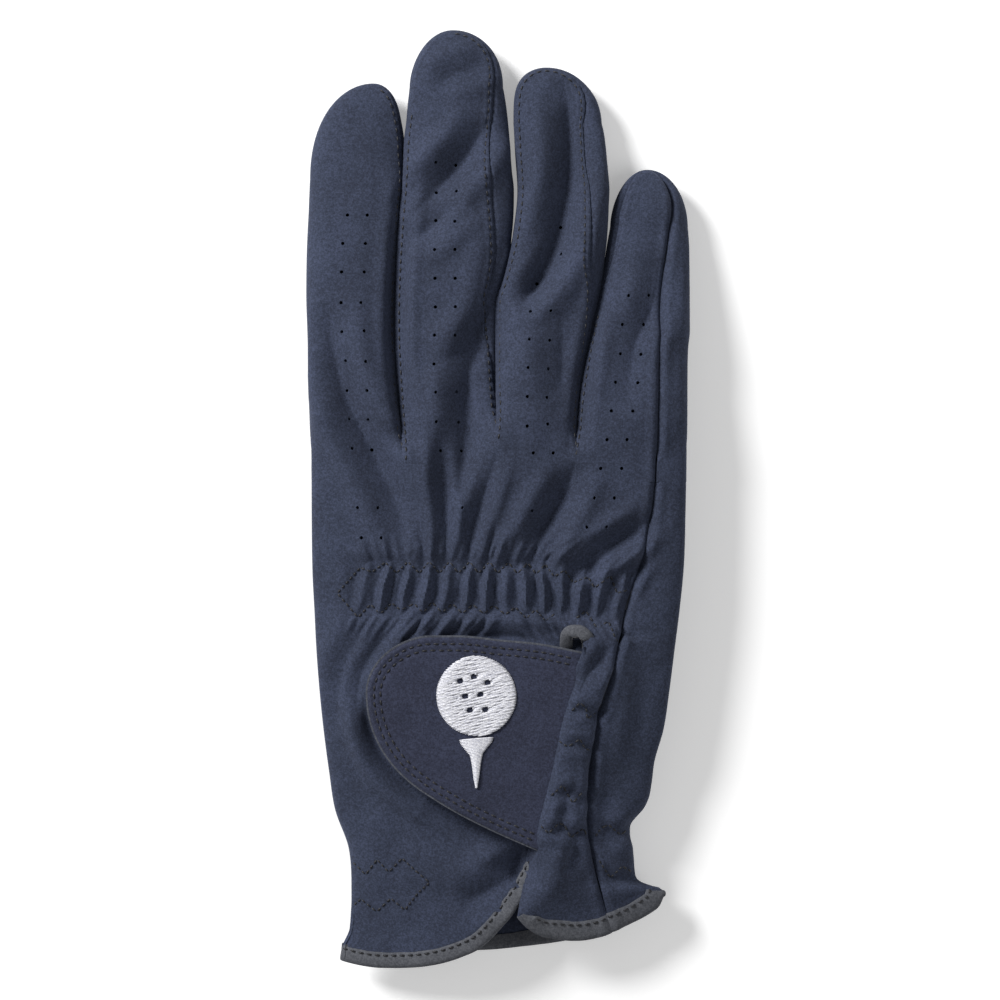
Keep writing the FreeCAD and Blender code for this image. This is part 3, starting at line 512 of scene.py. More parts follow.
# the band that is gathered over the knuckle elastic: its pleats, and how they lean and fan out
knuckleBand = {"middle": -22.3, "climb": 0.09, "climbFrom": 12, "half": 6.4, "past": 1.3,
               "depth": 1.9, "width": 1.1, "slack": 0.9, "slackOver": 1.15, "tail": 1.25,
               "ends": (-39.5, 36), "endFade": 4, "endPleat": 0.55, "wander": 0.15, "valley": 0.2,
               "minor": 0.4, "minorWidth": 0.6,
               "ridges": [-33.6, -28.5, -23.1, -18.0, -13.0, -7.7, -3.0, 1.7, 6.5, 11.0, 15.6, 20.2,
                          25.1, 30.2],
               "lean": [(-40, 0.28), (-20, 0.18), (-3, 0.08), (4, -0.06), (11, -0.08), (18, 0.12),
                        (30, 0.28)],
               "fan": [(-36, -0.4), (-20, -0.12), (-9, 0.25), (5, 0.45), (14, 0.8), (26, 1.0)],
               "below": [(-36, 0.6), (-22, 0.75), (-8, 0.7), (-2, 0.3), (4, -0.5), (16, -0.7)]}


def gathers(x, y):
    # cloth drawn up into lens-shaped pleats where the elastic is sewn under it; weaker pleats fan out
    # above and below
    b = knuckleBand
    middle = b["middle"] - b["climb"] * np.maximum(x - b["climbFrom"], 0)
    up = (y - middle) / b["half"]
    lens = np.cos(np.clip(up, -1, 1) * np.pi / 2) ** 0.6
    past = np.clip((np.abs(up) - 1) / b["past"], 0, 1)
    tail = b["tail"] * np.sin(np.pi * past) * (1 - past)
    lean, fan, below = (smoothLine(b[k])(x) for k in ("lean", "fan", "below"))
    shift = lean * (y - middle) + (fan - lean) * np.maximum(y - middle - b["half"], 0) \
        + (below - lean) * np.minimum(y - middle + b["half"], 0)
    height = 0 * x
    last = len(b["ridges"]) - 1
    for k, ridge in enumerate(b["ridges"]):
        # no two pleats are quite the same height, width or place
        tall = 1 + 0.25 * math.sin(k * 2.4)
        wide = b["width"] * (1 + 0.18 * math.cos(k * 1.7))
        wide = wide * (0.45 + 0.65 * lens * (np.abs(up) < 1) + 0.5 * past)
        across = np.abs(x - ridge - shift - b["wander"] * np.sin(y * 0.7 + k * 1.3)) / wide
        crest = np.exp(-across ** 1.7) - b["valley"] * np.exp(-((across - 1.9) / 0.6) ** 2)
        depth = b["depth"] * (b["endPleat"] if k in (0, last) else 1)
        height = height + tall * (depth * lens + tail) * crest
        if k < last:
            half = (ridge + b["ridges"][k + 1]) / 2 + 0.4 * math.sin(k * 3.1)
            between = (x - half - shift) / b["minorWidth"]
            height = height + b["minor"] * tall * (0.8 * lens ** 2 + tail) * np.exp(-between ** 2)
    left, right = b["ends"]
    ends = ease((x - left) / b["endFade"]) * ease((right - x) / b["endFade"])
    return ends * (height - b["slack"] * np.exp(-(up / b["slackOver"]) ** 6))


puff = {"top": -36.5, "topFade": 14, "bottom": -106, "bottomFade": 12, "height": 1.3, "roll": 1.3,
        "rollWidth": 1.1}


def flapPuff(x, y):
    # the flap swells between its free edge and the seam beside it
    edge, seam = flapEdge(y), ulnarSeam(y)
    across = np.clip((x - edge) / (seam - edge), 0, 1)
    swell = puff["height"] * np.sin(np.pi * across) ** 0.8
    roll = -puff["roll"] * np.exp(-((x - edge) / puff["rollWidth"]) ** 2)
    fade = ease((puff["top"] - y) / puff["topFade"]) * ease((y - puff["bottom"]) / puff["bottomFade"])
    return (swell + roll) * fade * (x > edge - 0.5) * (x < seam)


# height, scale and seed of the cloth's small unevenness
backUneven = [(0.16, 7.0, 1), (0.07, 3.0, 2), (0.03, 1.5, 5)]
palmUneven = [(0.2, 8.0, 31), (0.08, 3.2, 32)]
thumbUneven = [(0.14, 6.0, 41), (0.06, 2.6, 42)]
tabUneven = [(0.1, 5.0, 21), (0.05, 2.2, 22)]


def clothHeight(x, y):
    # everything that lifts or drops the back cloth from its smooth shape
    return uneven(x, y, backUneven) + foldField(x, y, folds) + gathers(x, y)


palmSink = 0.28
palmFolds = [
    # creases of the palm side, seen only from below: depth, half width, points
    (0.7, 1.3, [(-46, 52), (-36, 50), (-27, 52)]), (0.6, 1.2, [(-45, 26), (-36, 24.5), (-27, 27)]),
    (0.7, 1.3, [(-25, 60), (-13, 58), (-1, 60)]), (0.6, 1.2, [(-24, 30), (-12.5, 28.5), (-2, 30)]),
    (0.7, 1.3, [(1, 54), (12, 52), (25, 55)]), (0.6, 1.2, [(0, 28), (10, 26.5), (19, 28)]),
    (0.7, 1.3, [(25, 46), (36, 44), (47, 46)]), (0.6, 1.2, [(21, 22), (33, 21), (46, 23)]),
    (0.9, 2.0, [(-44, -4), (-15, -9), (20, -8), (45, -14)]),
    (0.9, 2.2, [(-38, -14), (-12, -26), (12, -48), (22, -70)]),
    (0.7, 1.8, [(6, -70), (10, -84), (6, -100)]), (0.7, 1.8, [(-24, -80), (-20, -92), (-24, -104)]),
]


def palmHeight(x, y):
    # the palm's cloth only ever sinks, so that it stays on the table
    return np.minimum(uneven(x, y, palmUneven) - palmSink + foldField(x, y, palmFolds), 0)


# each finger's outline, seams and heights against Y; a crotch is where it parts from its neighbour
fingers = {
    "index": {
        "left": [(4, -46.72), (12, -46.85), (22, -47.25), (40, -47.8), (52, -48.2), (62, -48.1), (72, -47.7),
                 (82, -47.3), (88, -46.8), (92, -46), (104.3, -44)],
        "right": [(4, -22.9), (8.5, -22.9), (16, -24.3), (24.5, -25.05), (44.5, -26.05), (64.5, -25.35),
                  (79.5, -24.15), (84, -23.75), (104.3, -23.75)],
        "tipStart": 80, "tip": 104.2, "tipX": -31.5, "tipRound": (2.2, 4.2),
        "crotchLeft": None, "crotchRight": 8.25,
        "seamLeft": None, "seamRight": [(4, 0.1), (80, 0.1), (88, 0.6), (100, 0.6), (105, 0.6)],
        "touch": (None, 96), "rootX": -36.45, "mids": [(20, 13.1), (62, 8.33), (88.9, 5.05), (104, 4.6)],
        "holes": {"first": 70.75, "pitch": 7.34, "count": 12, "gap": 5.1, "hidden": [],
                  "line": [(72, -35.4), (56, -36.4), (48, -36.5), (34, -35.8), (19, -34.7),
                           (4.5, -33), (-10, -31.75)]},
    },
    "middle": {
        "left": [(4, -22.9), (8.5, -22.9), (16, -24.15), (24.5, -24.9), (44.5, -25.9), (64.5, -25.2),
                 (79.5, -24), (92, -23.4), (97, -23.1), (105, -22.3), (118, -22)],
        "right": [(4, 0.1), (14.5, 0.1), (24, -0.75), (32, -0.95), (48.75, -0.85), (53.75, 0.65),
                  (59, 2.1), (67, 3.35), (77, 3.75), (82, 3.25), (92, 2.5), (97, 2), (102, 1.25), (105, 0.6),
                  (118, 0)],
        "tipStart": 103, "tip": 117.6, "tipX": -11.5, "tipRound": (1.8, 2.2),
        "crotchLeft": 8.25, "crotchRight": 14.5,
        "seamLeft": [(4, 0.4), (118, 0.4)],
        "seamRight": [(4, 0.2), (15, 0.4), (32, 0.9), (62, 3.9), (79.5, 5.9), (98, 3.5),
                      (110, 1.6), (118, 0.8)],
        "touch": (96, 66), "rootX": -12.45, "mids": [(20, 13.1), (68.75, 8.33), (99.95, 5.05), (117.5, 4.6)],
        "holes": {"first": 83.5, "pitch": 7.16, "count": 13, "gap": 5.0,
                  "hidden": [(7, 1), (11, 0), (12, 0)],
                  "line": [(84, -13.1), (62, -13.3), (41, -13.5), (26.75, -13.25), (12, -12),
                           (5.25, -11.75), (-2.25, -11.5)]},
    },
    "ring": {
        "left": [(4, 0.1), (14.5, 0.1), (24, -0.6), (32, -0.8), (48.75, -0.7), (53.75, 0.8), (59, 2.3),
                 (67, 3.6), (77, 4.6), (87, 4), (92, 3.75), (96, 3.5), (108.25, 2.5)],
        "right": [(4, 19.3), (9.5, 19.3), (24.5, 20.0), (42, 23.05), (52, 25.05), (63.25, 26.9),
                  (77, 27.5), (82, 27), (92, 26), (96, 25.2), (108.25, 24)],
        "tipStart": 94, "tip": 108.2, "tipX": 12.0, "tipRound": (4.0, 2.0),
        "crotchLeft": 14.5, "crotchRight": 9.5,
        "seamLeft": [(4, 0.4), (108.25, 0.4)],
        "seamRight": [(4, 0.2), (24.5, 0.3), (37, 0.6), (52, 2.4), (59.5, 4.4), (82, 5.0),
                      (92, 4.6), (104.5, 1.6), (108.25, 0.8)],
        "touch": (66, 61), "rootX": 10.3, "mids": [(20, 13.1), (64, 8.33), (92.2, 5.05), (108, 4.6)],
        "holes": {"first": 67.75, "pitch": 7.1, "count": 11, "gap": 5.0,
                  "hidden": [(0, 0), (1, 0), (2, 1), (9, 1), (10, 1)],
                  "line": [(68, 12.8), (60, 12.8), (53, 11.75), (48.25, 10.5), (33.5, 9.9),
                           (18.6, 9.6), (11, 11), (3.5, 10.7), (-3.5, 10.5)]},
    },
    "little": {
        "left": [(4, 19.3), (9.5, 19.3), (24.5, 20.15), (42, 23.2), (52, 25.25), (64.5, 27.25),
                 (72, 28.6), (82.5, 29.5)],
        "right": [(4, 46.75), (22, 47), (37, 47.25), (42, 47.75), (62, 47.75), (67, 47.5), (72, 47),
                  (82.5, 46)],
        "tipStart": 68, "tip": 82.5, "tipX": 37.3, "tipRound": (1.75, 2.0),
        "crotchLeft": 9.5, "crotchRight": None,
        "seamLeft": [(4, 0.2), (48, 0.3), (62, 2.0), (75, 2.0), (82.5, 0.8)],
        "seamRight": [(4, 7.6), (29.5, 7.1), (44.5, 7.2), (62, 5.5), (77, 2.2), (82.5, 0.8)],
        "touch": (61, None), "rootX": 34.0, "mids": [(20, 13.1), (51.25, 8.33), (71.25, 5.05), (82.5, 4.6)],
        "holes": {"first": 50.25, "pitch": 7.17, "count": 9, "gap": 5.1, "hidden": [],
                  "line": [(50.25, 34.75), (43.25, 33.4), (28.75, 31.75), (14.6, 29.4), (0, 26.1),
                           (-7.1, 24.25)]},
    },
}
fingerForm = {
    "pressed": 0.42, "pressedAt": -0.15, "pressedHeight": 0.45,  # how fingers that touch swell
    "cross": 1.4, "dip": 0.4,   # how edges cross and dip where neighbours share one cloth
    "squareness": (2.9, 2.1), "boxed": 60.0,
    "opening": 9.0, "ownFrom": 12, "ownOver": 12, "touchFade": 7,
    "thickness": [(0, 6.5), (0.5, 5.9), (0.82, 5.25), (1, 4.4)], "thickFrom": 20,
    "tipRows": 26, "step": 0.55, "backColumns": 64, "palmColumns": 60, "stripColumns": 30,
}


def holePlaces(finger):
    holes = finger["holes"]
    line = smoothLine(holes["line"])
    places = []
    for row in range(holes["count"]):
        y = holes["first"] - row * holes["pitch"]
        for side in (0, 1):
            if (row, side) not in holes["hidden"]:
                places.append((float(line(y)) + (side - 0.5) * holes["gap"], y))
    return places


def roundBox(nLeft, nRight, count=70):
    # a closed soft rectangle from -1 to 1, from the left end over the top and back underneath
    def quarter(n):
        corner = 2 ** (-1 / n)
        side = np.linspace(0, corner, count)
        flat = np.linspace(corner, 0, 2 * count)[1:]
        u = np.concatenate([(1 - side**n) ** (1 / n), flat])
        v = np.concatenate([side, (1 - flat**n) ** (1 / n)])
        return u, v

    ul, vl = quarter(nLeft)
    ur, vr = quarter(nRight)
    u = np.concatenate([-ul, ur[::-1][1:], ur[1:], -ul[::-1][1:]])
    v = np.concatenate([vl, vr[::-1][1:], -vr[1:], -vl[::-1][1:]])
    return u, v


class Section:
    # one closed cross-section, read by the distance along its skin
    def __init__(self, x, z, topCount):
        self.x, self.z = x, z
        step = np.hypot(np.diff(x), np.diff(z)) + 1e-7
        self.run = np.concatenate([[0], np.cumsum(step)])
        self.topCount = topCount

    def at(self, run):
        return np.interp(run, self.run, self.x), np.interp(run, self.run, self.z)

    def row(self, run, y):
        # points of a row of cloth that lies on the skin at one Y
        x, z = self.at(run)
        return np.stack([x, np.full(len(run), y), z], axis=1)

    def onTopAt(self, x):
        k = self.topCount
        return np.interp(x, np.maximum.accumulate(self.x[:k]), self.run[:k])

    def onBottomAt(self, x):
        k = self.topCount - 1
        return np.interp(-x, np.maximum.accumulate(-self.x[k:]), self.run[k:])

    @property
    def whole(self):
        return self.run[-1]


def tipShare(f, y):
    # 0 up to where the fingertip starts to round off, 1 at its end
    return max(0.0, (y - f["tipStart"]) / (f["tip"] - f["tipStart"]))


def fingerSections(name):
    f, form = fingers[name], fingerForm
    left, right, mids = (smoothLine(f[k]) for k in ("left", "right", "mids"))
    thickness = smoothLine(form["thickness"])
    straight = np.arange(hand["skinStart"], f["tipStart"], form["step"])
    turn = np.linspace(0, math.pi / 2, form["tipRows"])
    ys = np.concatenate([straight, f["tipStart"] + (f["tip"] - f["tipStart"]) * np.sin(turn)])
    n, boxed = form["squareness"], form["boxed"]
    crotches = f["crotchLeft"], f["crotchRight"]
    sections = []
    for y in ys:
        t = tipShare(f, y)
        low, high = float(left(min(y, f["tipStart"]))), float(right(min(y, f["tipStart"])))
        if t > 0:
            nLow, nHigh = f["tipRound"]
            low = f["tipX"] - (f["tipX"] - low) * math.sqrt(max(0.0, 1 - t**nLow))
            high = f["tipX"] + (high - f["tipX"]) * math.sqrt(max(0.0, 1 - t**nHigh))
        centre, reach = (low + high) / 2, (high - low) / 2
        share = (y - form["thickFrom"]) / (f["tip"] - form["thickFrom"])
        half = float(thickness(share)) * max(0.0, 1 - t**2.4) ** 0.5
        opened = [1.0 if c is None else float(ease((y - c) / form["opening"])) for c in crotches]
        own = [float(ease((y - form["ownFrom"]) / form["ownOver"])) if c is None else o
               for c, o in zip(crotches, opened)]
        u, v = roundBox(*(1 / (1 / boxed + (1 / n[k] - 1 / boxed) * own[k] ** 0.6) for k in (0, 1)))
        x = centre + reach * u
        # near the palm neighbouring fingers share one cloth, so their edges meet and just cross
        shared = [(side, o) for side, crotch, o in zip((-1, 1), crotches, own) if crotch is not None]
        for side, o in shared:
            x = x + side * form["cross"] * (1 - o) * (u * side > 0.8)
        for side, reached, o in zip((-1, 1), f["touch"], opened):
            if reached is not None:
                swell = form["pressed"] * o * float(ease((reached - y) / form["touchFade"]))
                bulge = np.exp(-((v - form["pressedAt"]) / form["pressedHeight"]) ** 2)
                x = x + side * swell * bulge * (u * side > 0)
        upper, lower = handHeights(x, y)
        flatZ = (upper + lower) / 2 + v * (upper - lower) / 2
        ownZ = float(mids(y)) + half * v
        # the back stays level with the hand for a while past the crotch
        z = flatZ + (ownZ - flatZ) * (own[0] + (own[1] - own[0]) * ease((u + 1) / 2))
        # and the crossing edges dip under one another
        for side, o in shared:
            beyond = np.maximum(side * (x - centre) - reach, 0)
            z = z - form["dip"] * beyond * (1 - o) * np.clip(v * 2, -1, 1)
        sections.append((y, Section(x, z, (len(u) + 1) // 2)))
    return sections


# how far a seam lies in from the finger's side: at most a share of half the width, and at least a little
seam = {"most": 0.9, "least": 0.06, "palmSide": 0.6, "wrapped": 0.02, "closeFrom": 0.6, "closeOver": 2.5}


def seamRuns(name, section, y):
    # skin distances of the seams: the back lies from the first to the second, the palm from the third
    # to the fourth, and the fifth is the first again, once round
    f = fingers[name]
    lowX, highX = section.x.min(), section.x.max()
    middleX = (lowX + highX) / 2
    shrink = math.sqrt(max(0.0, 1 - tipShare(f, y) ** 2))

    def insetAt(side, span):
        inset = min(float(smoothLine(f["seam" + side])(y)), seam["most"] * span)
        if f["crotch" + side] is None:
            return inset
        # below the crotch the seams close up
        inset *= float(ease((y - f["crotch" + side] + seam["closeFrom"]) / seam["closeOver"]))
        return max(inset, seam["least"] * shrink)

    if f["seamLeft"] is None:
        first = -seam["wrapped"] * section.whole * shrink
        last = section.whole + first
    else:
        inset = insetAt("Left", middleX - lowX)
        first, last = float(section.onTopAt(lowX + inset)), float(section.onBottomAt(lowX + inset))
    inset = insetAt("Right", highX - middleX)
    second = third = float(section.onTopAt(highX - inset))
    if f["crotchRight"] is not None:
        third = float(section.onBottomAt(highX - min(inset, seam["palmSide"])))
    return first, second, third, last, first + section.whole


facing = {"gain": 1.4, "least": 0.15}  # how soon a face that turns up or down takes the folds


def displaced(grid, extra=None, turn=1):
    # lifts a cloth grid by the fold heights of the back where it faces up, of the palm where down
    normal = turn * gridNormals(grid)
    up, down = (np.clip(way * normal[..., 2] * facing["gain"] - facing["least"], 0, 1) for way in (1, -1))
    height = up * clothHeight(grid[..., 0], grid[..., 1])
    height = height + down * palmHeight(grid[..., 0], grid[..., 1])
    if extra is not None:
        height = height + extra * np.maximum(up, down)
    return grid + normal * height[..., None]


def spread(first, last, count, crowd=0.55):
    # places from first to last, crowded towards both ends where the seams are
    t = np.linspace(0, 1, count)
    return first + (last - first) * (t - crowd * np.sin(2 * math.pi * t) / (2 * math.pi))


# a lapped seam: the upper cloth's swell, the lower one's dive, and the row of stitches beside the edge
lap = {"over": 0.26, "under": -0.55, "tuck": 1.1, "pucker": 0.13, "row": 1.0, "roundOff": 0.22,
       "rowDip": 0.2, "stitch": 2.1, "shownFrom": -0.5, "shownOver": 3, "fullRound": 34, "tuckRound": 30,
       "hidden": 0.8}  # on a finger that measures less than so much round, the seam flattens
turnedSeam = {"swell": 0.3, "swellAt": 1.8, "swellWidth": 1.1, "depth": 1.3, "width": 0.55,
              "flatFrom": -108, "flatOver": 14, "least": 0.15}  # the crease grows shallow at the cuff
over, under, turnedIn = 1, -1, 2


def lapRise(run, edge, kind, y):
    # at a lapped seam the upper cloth swells and rounds off at its cut edge, and the lower one dives
    # under it; at a turned seam both cloths roll down into a crease
    d = np.abs(run - edge)
    if kind == turnedIn:
        least, down = turnedSeam["least"], (y - turnedSeam["flatFrom"]) / turnedSeam["flatOver"]
        fade = least + (1 - least) * ease(down)
        swell = turnedSeam["swell"] * np.exp(-((d - turnedSeam["swellAt"]) / turnedSeam["swellWidth"]) ** 2)
        return swell - turnedSeam["depth"] * fade * np.exp(-(d / turnedSeam["width"]) ** 1.3)
    if kind == over:
        swell = lap["over"] * np.exp(-((d - 1.0) / 1.3) ** 2) - lap["roundOff"] * np.exp(-(d / 0.35) ** 2)
        row = -lap["rowDip"] * np.exp(-((d - lap["row"]) / 0.4) ** 2)
        pucker = lap["pucker"] * np.sin(2 * math.pi * y / lap["stitch"])
        return swell + row + pucker * np.exp(-((d - 0.7) / 0.9) ** 2)
    return lap["under"] * (1 - ease((d - lap["tuck"] - 0.1) / 1.1))


def fingerPanel(name, sections, columns, seams, laps):
    # the cloth between two of the finger's seams; laps says for each whether it lies over its
    # neighbour, under it, is turned in with it, or just meets it (0)
    f = fingers[name]
    rows, rises = [], []
    for y, section in sections:
        cuts = seamRuns(name, section, y)
        a, b = (cuts[k] for k in seams)
        tuck = lap["tuck"] * min(1.0, section.whole / lap["tuckRound"])
        a, b = a - tuck * (laps[0] == under), b + tuck * (laps[1] == under)
        run = spread(a, b, columns)
        rows.append(section.row(run % section.whole, y))
        rise = 0 * run
        for edge, kind, crotch in ((a, laps[0], f["crotchLeft"]), (b, laps[1], f["crotchRight"])):
            if kind:
                shown = 1.0
                if crotch is not None:
                    shown = float(ease((y - crotch - lap["shownFrom"]) / lap["shownOver"]))
                shown *= min(1.0, section.whole / lap["fullRound"])
                rise = rise + (1 if kind == under else shown) * lapRise(run, edge, kind, y)
                if kind == under:
                    rise = rise - lap["hidden"] * (1 - shown)
        rises.append(rise)
    return displaced(np.array(rows), np.array(rises))


def fingerPieces(name, sections):
    # back and palm, and the side strips that start just below each crotch
    f = fingers[name]
    outermost = f["crotchRight"] is None
    backLaps = (over if f["seamLeft"] else 0, turnedIn if outermost else over)
    palmLaps = (turnedIn if outermost else 0, 0)
    pieces = {"back": fingerPanel(name, sections, fingerForm["backColumns"], (0, 1), backLaps),
              "palm": fingerPanel(name, sections, fingerForm["palmColumns"], (2, 3), palmLaps)}
    strips = (("outer", "crotchRight", (1, 2), (under, 0)), ("inner", "crotchLeft", (3, 4), (0, under)))
    for part, crotch, seams, laps in strips:
        if f[crotch] is not None:
            upper = [(y, section) for y, section in sections if y >= f[crotch] - 0.3]
            pieces[part] = fingerPanel(name, upper, fingerForm["stripColumns"], seams, laps)
    return pieces


def nodesOf(name, part):
    # the CAD nodes that one piece of a finger stands for
    if part == "back":
        return [name + "_finger_back", name + "_knuckle_crease"]
    return [name + ("_finger_palm" if part == "palm" else "_" + part + "_fourchette")]


def rideFinger(obj):
    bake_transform(obj)


holeRadius = 0.46
fingerSkins, fingerGrids = {}, {}
for name, f in fingers.items():
    fingerSkins[name] = fingerSections(name)
    fingerGrids[name] = fingerPieces(name, fingerSkins[name])
    for part, grid in fingerGrids[name].items():
        skip = punch(grid, holePlaces(f), holeRadius) if part == "back" else ()
        obj = cutCloth(nodesOf(name, part), grid, microfibre, hand["cloth"], skip=skip)
        rideFinger(obj)
toPrint("fingers sewn")


# where the cloth ends at the cuff: Y against X
hemLeft = smoothLine([(-41, -115), (-38.5, -115.7), (-34, -116.6), (-29.75, -117), (-19.75, -116.6),
                      (-9.75, -114.1), (-4.75, -111.6), (0.25, -106.6), (4, -101.6), (6.7, -98),
                      (11, -91), (16.5, -84)])
hemFlap = smoothLine([(4.2, -102.2), (4.8, -103.4), (6, -105.2), (9.2, -107.9), (14, -109.4), (19.6, -110),
                      (25.3, -109.1), (30.9, -106.9), (38.4, -102.9), (41.8, -100.3)])
hemPalm = smoothLine([(-42, -114.8), (-37, -115), (-28, -114.4), (-7.25, -113.5), (0.25, -113.1),
                      (5.9, -112.5), (18.4, -110.6), (25.3, -109), (30.9, -106.8), (38.4, -102.8),
                      (41.8, -100.2)])


def handSection(y):
    left, right = float(handLeft(y)), float(handRight(y))
    n = float(handSquareness(y))
    u, v = roundBox(n, n, 200)
    x = (left + right) / 2 + (right - left) / 2 * u
    centre, half = float(handTop(y) + handBottom(y)) / 2, float(handTop(y) - handBottom(y)) / 2
    return Section(x, centre + half * v, (len(u) + 1) // 2)


# Y of each row of points; rows lie closer together where the cloth is gathered
rowStep = {"plain": 0.8, "gathered": 0.42, "gatheredFrom": -9, "gatheredTo": -37, "end": -118,
           "squeezedFrom": -40, "squeezedOver": 45}
handLines = np.concatenate([np.arange(hand["skinStart"], rowStep["gatheredFrom"], -rowStep["plain"]),
                            np.arange(rowStep["gatheredFrom"], rowStep["gatheredTo"], -rowStep["gathered"]),
                            np.arange(rowStep["gatheredTo"], rowStep["end"], -rowStep["plain"])])


def hemLimits(ys, xs, hem, shorter=0.0):
    # the Y at which each column of cloth meets the hem curve
    limit = hem(xs[-1]) + shorter
    for _ in range(8):  # each round comes closer
        at = [np.interp(limit[c], ys[::-1], xs[::-1, c]) for c in range(xs.shape[1])]
        limit = (limit + hem(np.array(at)) + shorter) / 2
    return limit


def squeezedRows(grid, ys, limit):
    # squeeze the lowest rows so that they end on the hem
    reach = (hand["skinStart"] - limit) / (hand["skinStart"] - ys[-1])
    lower = hand["skinStart"] - (hand["skinStart"] - ys[:, None]) * reach[None, :]
    share = ease((rowStep["squeezedFrom"] - ys[:, None]) / rowStep["squeezedOver"])
    lower = ys[:, None] + (lower - ys[:, None]) * share
    for c in range(grid.shape[1]):
        for k in (0, 2):
            grid[:, c, k] = np.interp(lower[:, c][::-1], ys[::-1], grid[::-1, c, k])[::-1]
    grid[:, :, 1] = lower
    return grid


def handRows(startX, endX, hem, columns, rise=None, crowd=0.0):
    # rows of upper cloth from the finger roots down; each column ends on the hem curve
    ys = handLines
    grid = []
    for y in ys:
        section = handSection(y)
        a = 0.0 if startX is None else float(section.onTopAt(startX(y)))
        b = float(section.onTopAt(endX(y)))
        grid.append(section.row(spread(a, b, columns, crowd), y))
    grid = np.array(grid)
    grid = squeezedRows(grid, ys, hemLimits(ys, grid[..., 0], hem))
    if rise is not None:
        grid[..., 2] += rise(grid[..., 0], grid[..., 1])
    return grid


def edgeX(y):
    # the flap's free edge, and above the opening the line where it starts
    return float(flapEdge(y)) if y < slit["top"] else slit["topX"]


def slitX(y):
    return edgeX(y) + slit["tuck"] * float(ease((slit["top"] - y) / slit["tuckOver"]))


def flapLift(x, y):
    share = 1 - ease((x - flapEdge(y) - slit["liftFrom"]) / slit["slope"])
    return flapRise(y) * share * (x > flapEdge(y) - 2)


clothColumns = {"back": 168, "flap": 64, "palm": 170}
leftBack = handRows(None, slitX, hemLeft, clothColumns["back"])
flapGrid = handRows(edgeX, lambda y: float(ulnarSeam(y)), hemFlap, clothColumns["flap"], flapLift, 0.5)
# the cloth is drawn up to the flap where the opening begins
tent = {"width": 3.4, "below": 0.4, "fade": 0.8}
beside = np.exp(-((leftBack[..., 0] - slit["topX"]) / tent["width"]) ** 2)
above = ease((leftBack[..., 1] - slit["top"] + tent["below"]) / tent["fade"])
leftBack[..., 2] += flapRise(leftBack[..., 1]) * beside * above
leftBack = displaced(leftBack, turn=-1)
ulnarRise = lapRise(flapGrid[..., 0], flapGrid[:, -1:, 0], turnedIn, flapGrid[..., 1])
flapGrid = displaced(flapGrid, ulnarRise + flapPuff(flapGrid[..., 0], flapGrid[..., 1]), turn=-1)
# the flap's free edge is turned under and sewn down
turned = [(-0.42, -0.3), (-0.5, -0.85), (0.0, -1.3), (1.6, -1.42), (3.2, -1.4)]
turnedFrom, turnedOver = 1.5, 5
free = ease((slit["top"] - turnedFrom - flapGrid[:, :1, 1]) / turnedOver)
curl = [flapGrid[:, :1] + np.concatenate([free * dx, 0 * free, free * dz], axis=1)[:, None]
        for dx, dz in turned]
flapGrid = np.concatenate(curl[::-1] + [flapGrid], axis=1)
allHoles = [p for name in fingers for p in holePlaces(fingers[name]) if p[1] < hand["skinStart"] - 0.5]


def sewBack():
    # the back and its flap are one cut of cloth
    vertices, faces = [], []
    for grid in (leftBack, flapGrid):
        skip = punch(grid, allHoles, holeRadius)
        faces += gridFaces(*grid.shape[:2], skip, len(vertices), flip=True)
        vertices += list(grid.reshape(-1, 3))
    obj = newObject("back_panel", vertices, faces, microfibre)
    thicken(obj, hand["cloth"])
    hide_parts("back_panel", "back_flap")
    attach(obj, "hand")


sewBack()
toPrint("back of the hand sewn")


palmCloth = {"crowd": 1.35, "shorter": 1.6, "shorterOver": 6, "shorterFrom": 20, "upperOver": 3}


def palmGrid():
    # round from the outer seam over the little-finger side, across the palm to the index edge
    ys = np.arange(hand["skinStart"], rowStep["end"], -rowStep["plain"])
    columns = clothColumns["palm"]
    grid, rises = [], []
    for y in ys:
        section = handSection(y)
        a = float(section.onTopAt(float(ulnarSeam(y))))
        run = a + (section.whole - a) * np.linspace(0, 1, columns) ** palmCloth["crowd"]
        grid.append(section.row(run, y))
        rises.append(lapRise(run, a, turnedIn, y))
    grid = np.array(grid)
    middle = (handTop(ys) + handBottom(ys))[:, None] / 2
    upperSide = ease((grid[..., 2] - middle) / palmCloth["upperOver"])
    grid[..., 2] += flapLift(grid[..., 0], grid[..., 1]) * upperSide * (grid[..., 1] < slit["top"])
    # the under layer ends a little short of the upper one, so it hides below it
    beyondFold = np.arange(columns) - int(np.argmax(grid[-1, :, 0]))
    shorter = palmCloth["shorter"] * ease(beyondFold / palmCloth["shorterOver"])
    shorter = shorter * ease((grid[-1, :, 0] - palmCloth["shorterFrom"]) / 8)
    grid = squeezedRows(grid, ys, hemLimits(ys, grid[..., 0], hemPalm, shorter))
    return displaced(grid, np.array(rises), turn=-1)


palm = palmGrid()
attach(cutCloth(["palm_panel"], palm, microfibre, hand["cloth"], flip=True), "hand")
toPrint("palm sewn")


# one stitch of sewing thread, in mm
thread = {"width": 0.48, "rise": 0.17, "length": 1.45, "pitch": 2.1, "lift": 0.06, "sides": 6,
          "pulledIn": 0.12, "flattened": 0.35, "domed": 1.3,
          "steepest": 1.4, "levelFrom": 0.25, "levelOver": 0.5,
          "rings": [(0.0, 0.35, -0.24), (0.12, 0.8, -0.05), (0.5, 1.0, 0.08), (0.88, 0.8, -0.05),
                    (1.0, 0.35, -0.24)]}  # share of the length, share of the width, lift


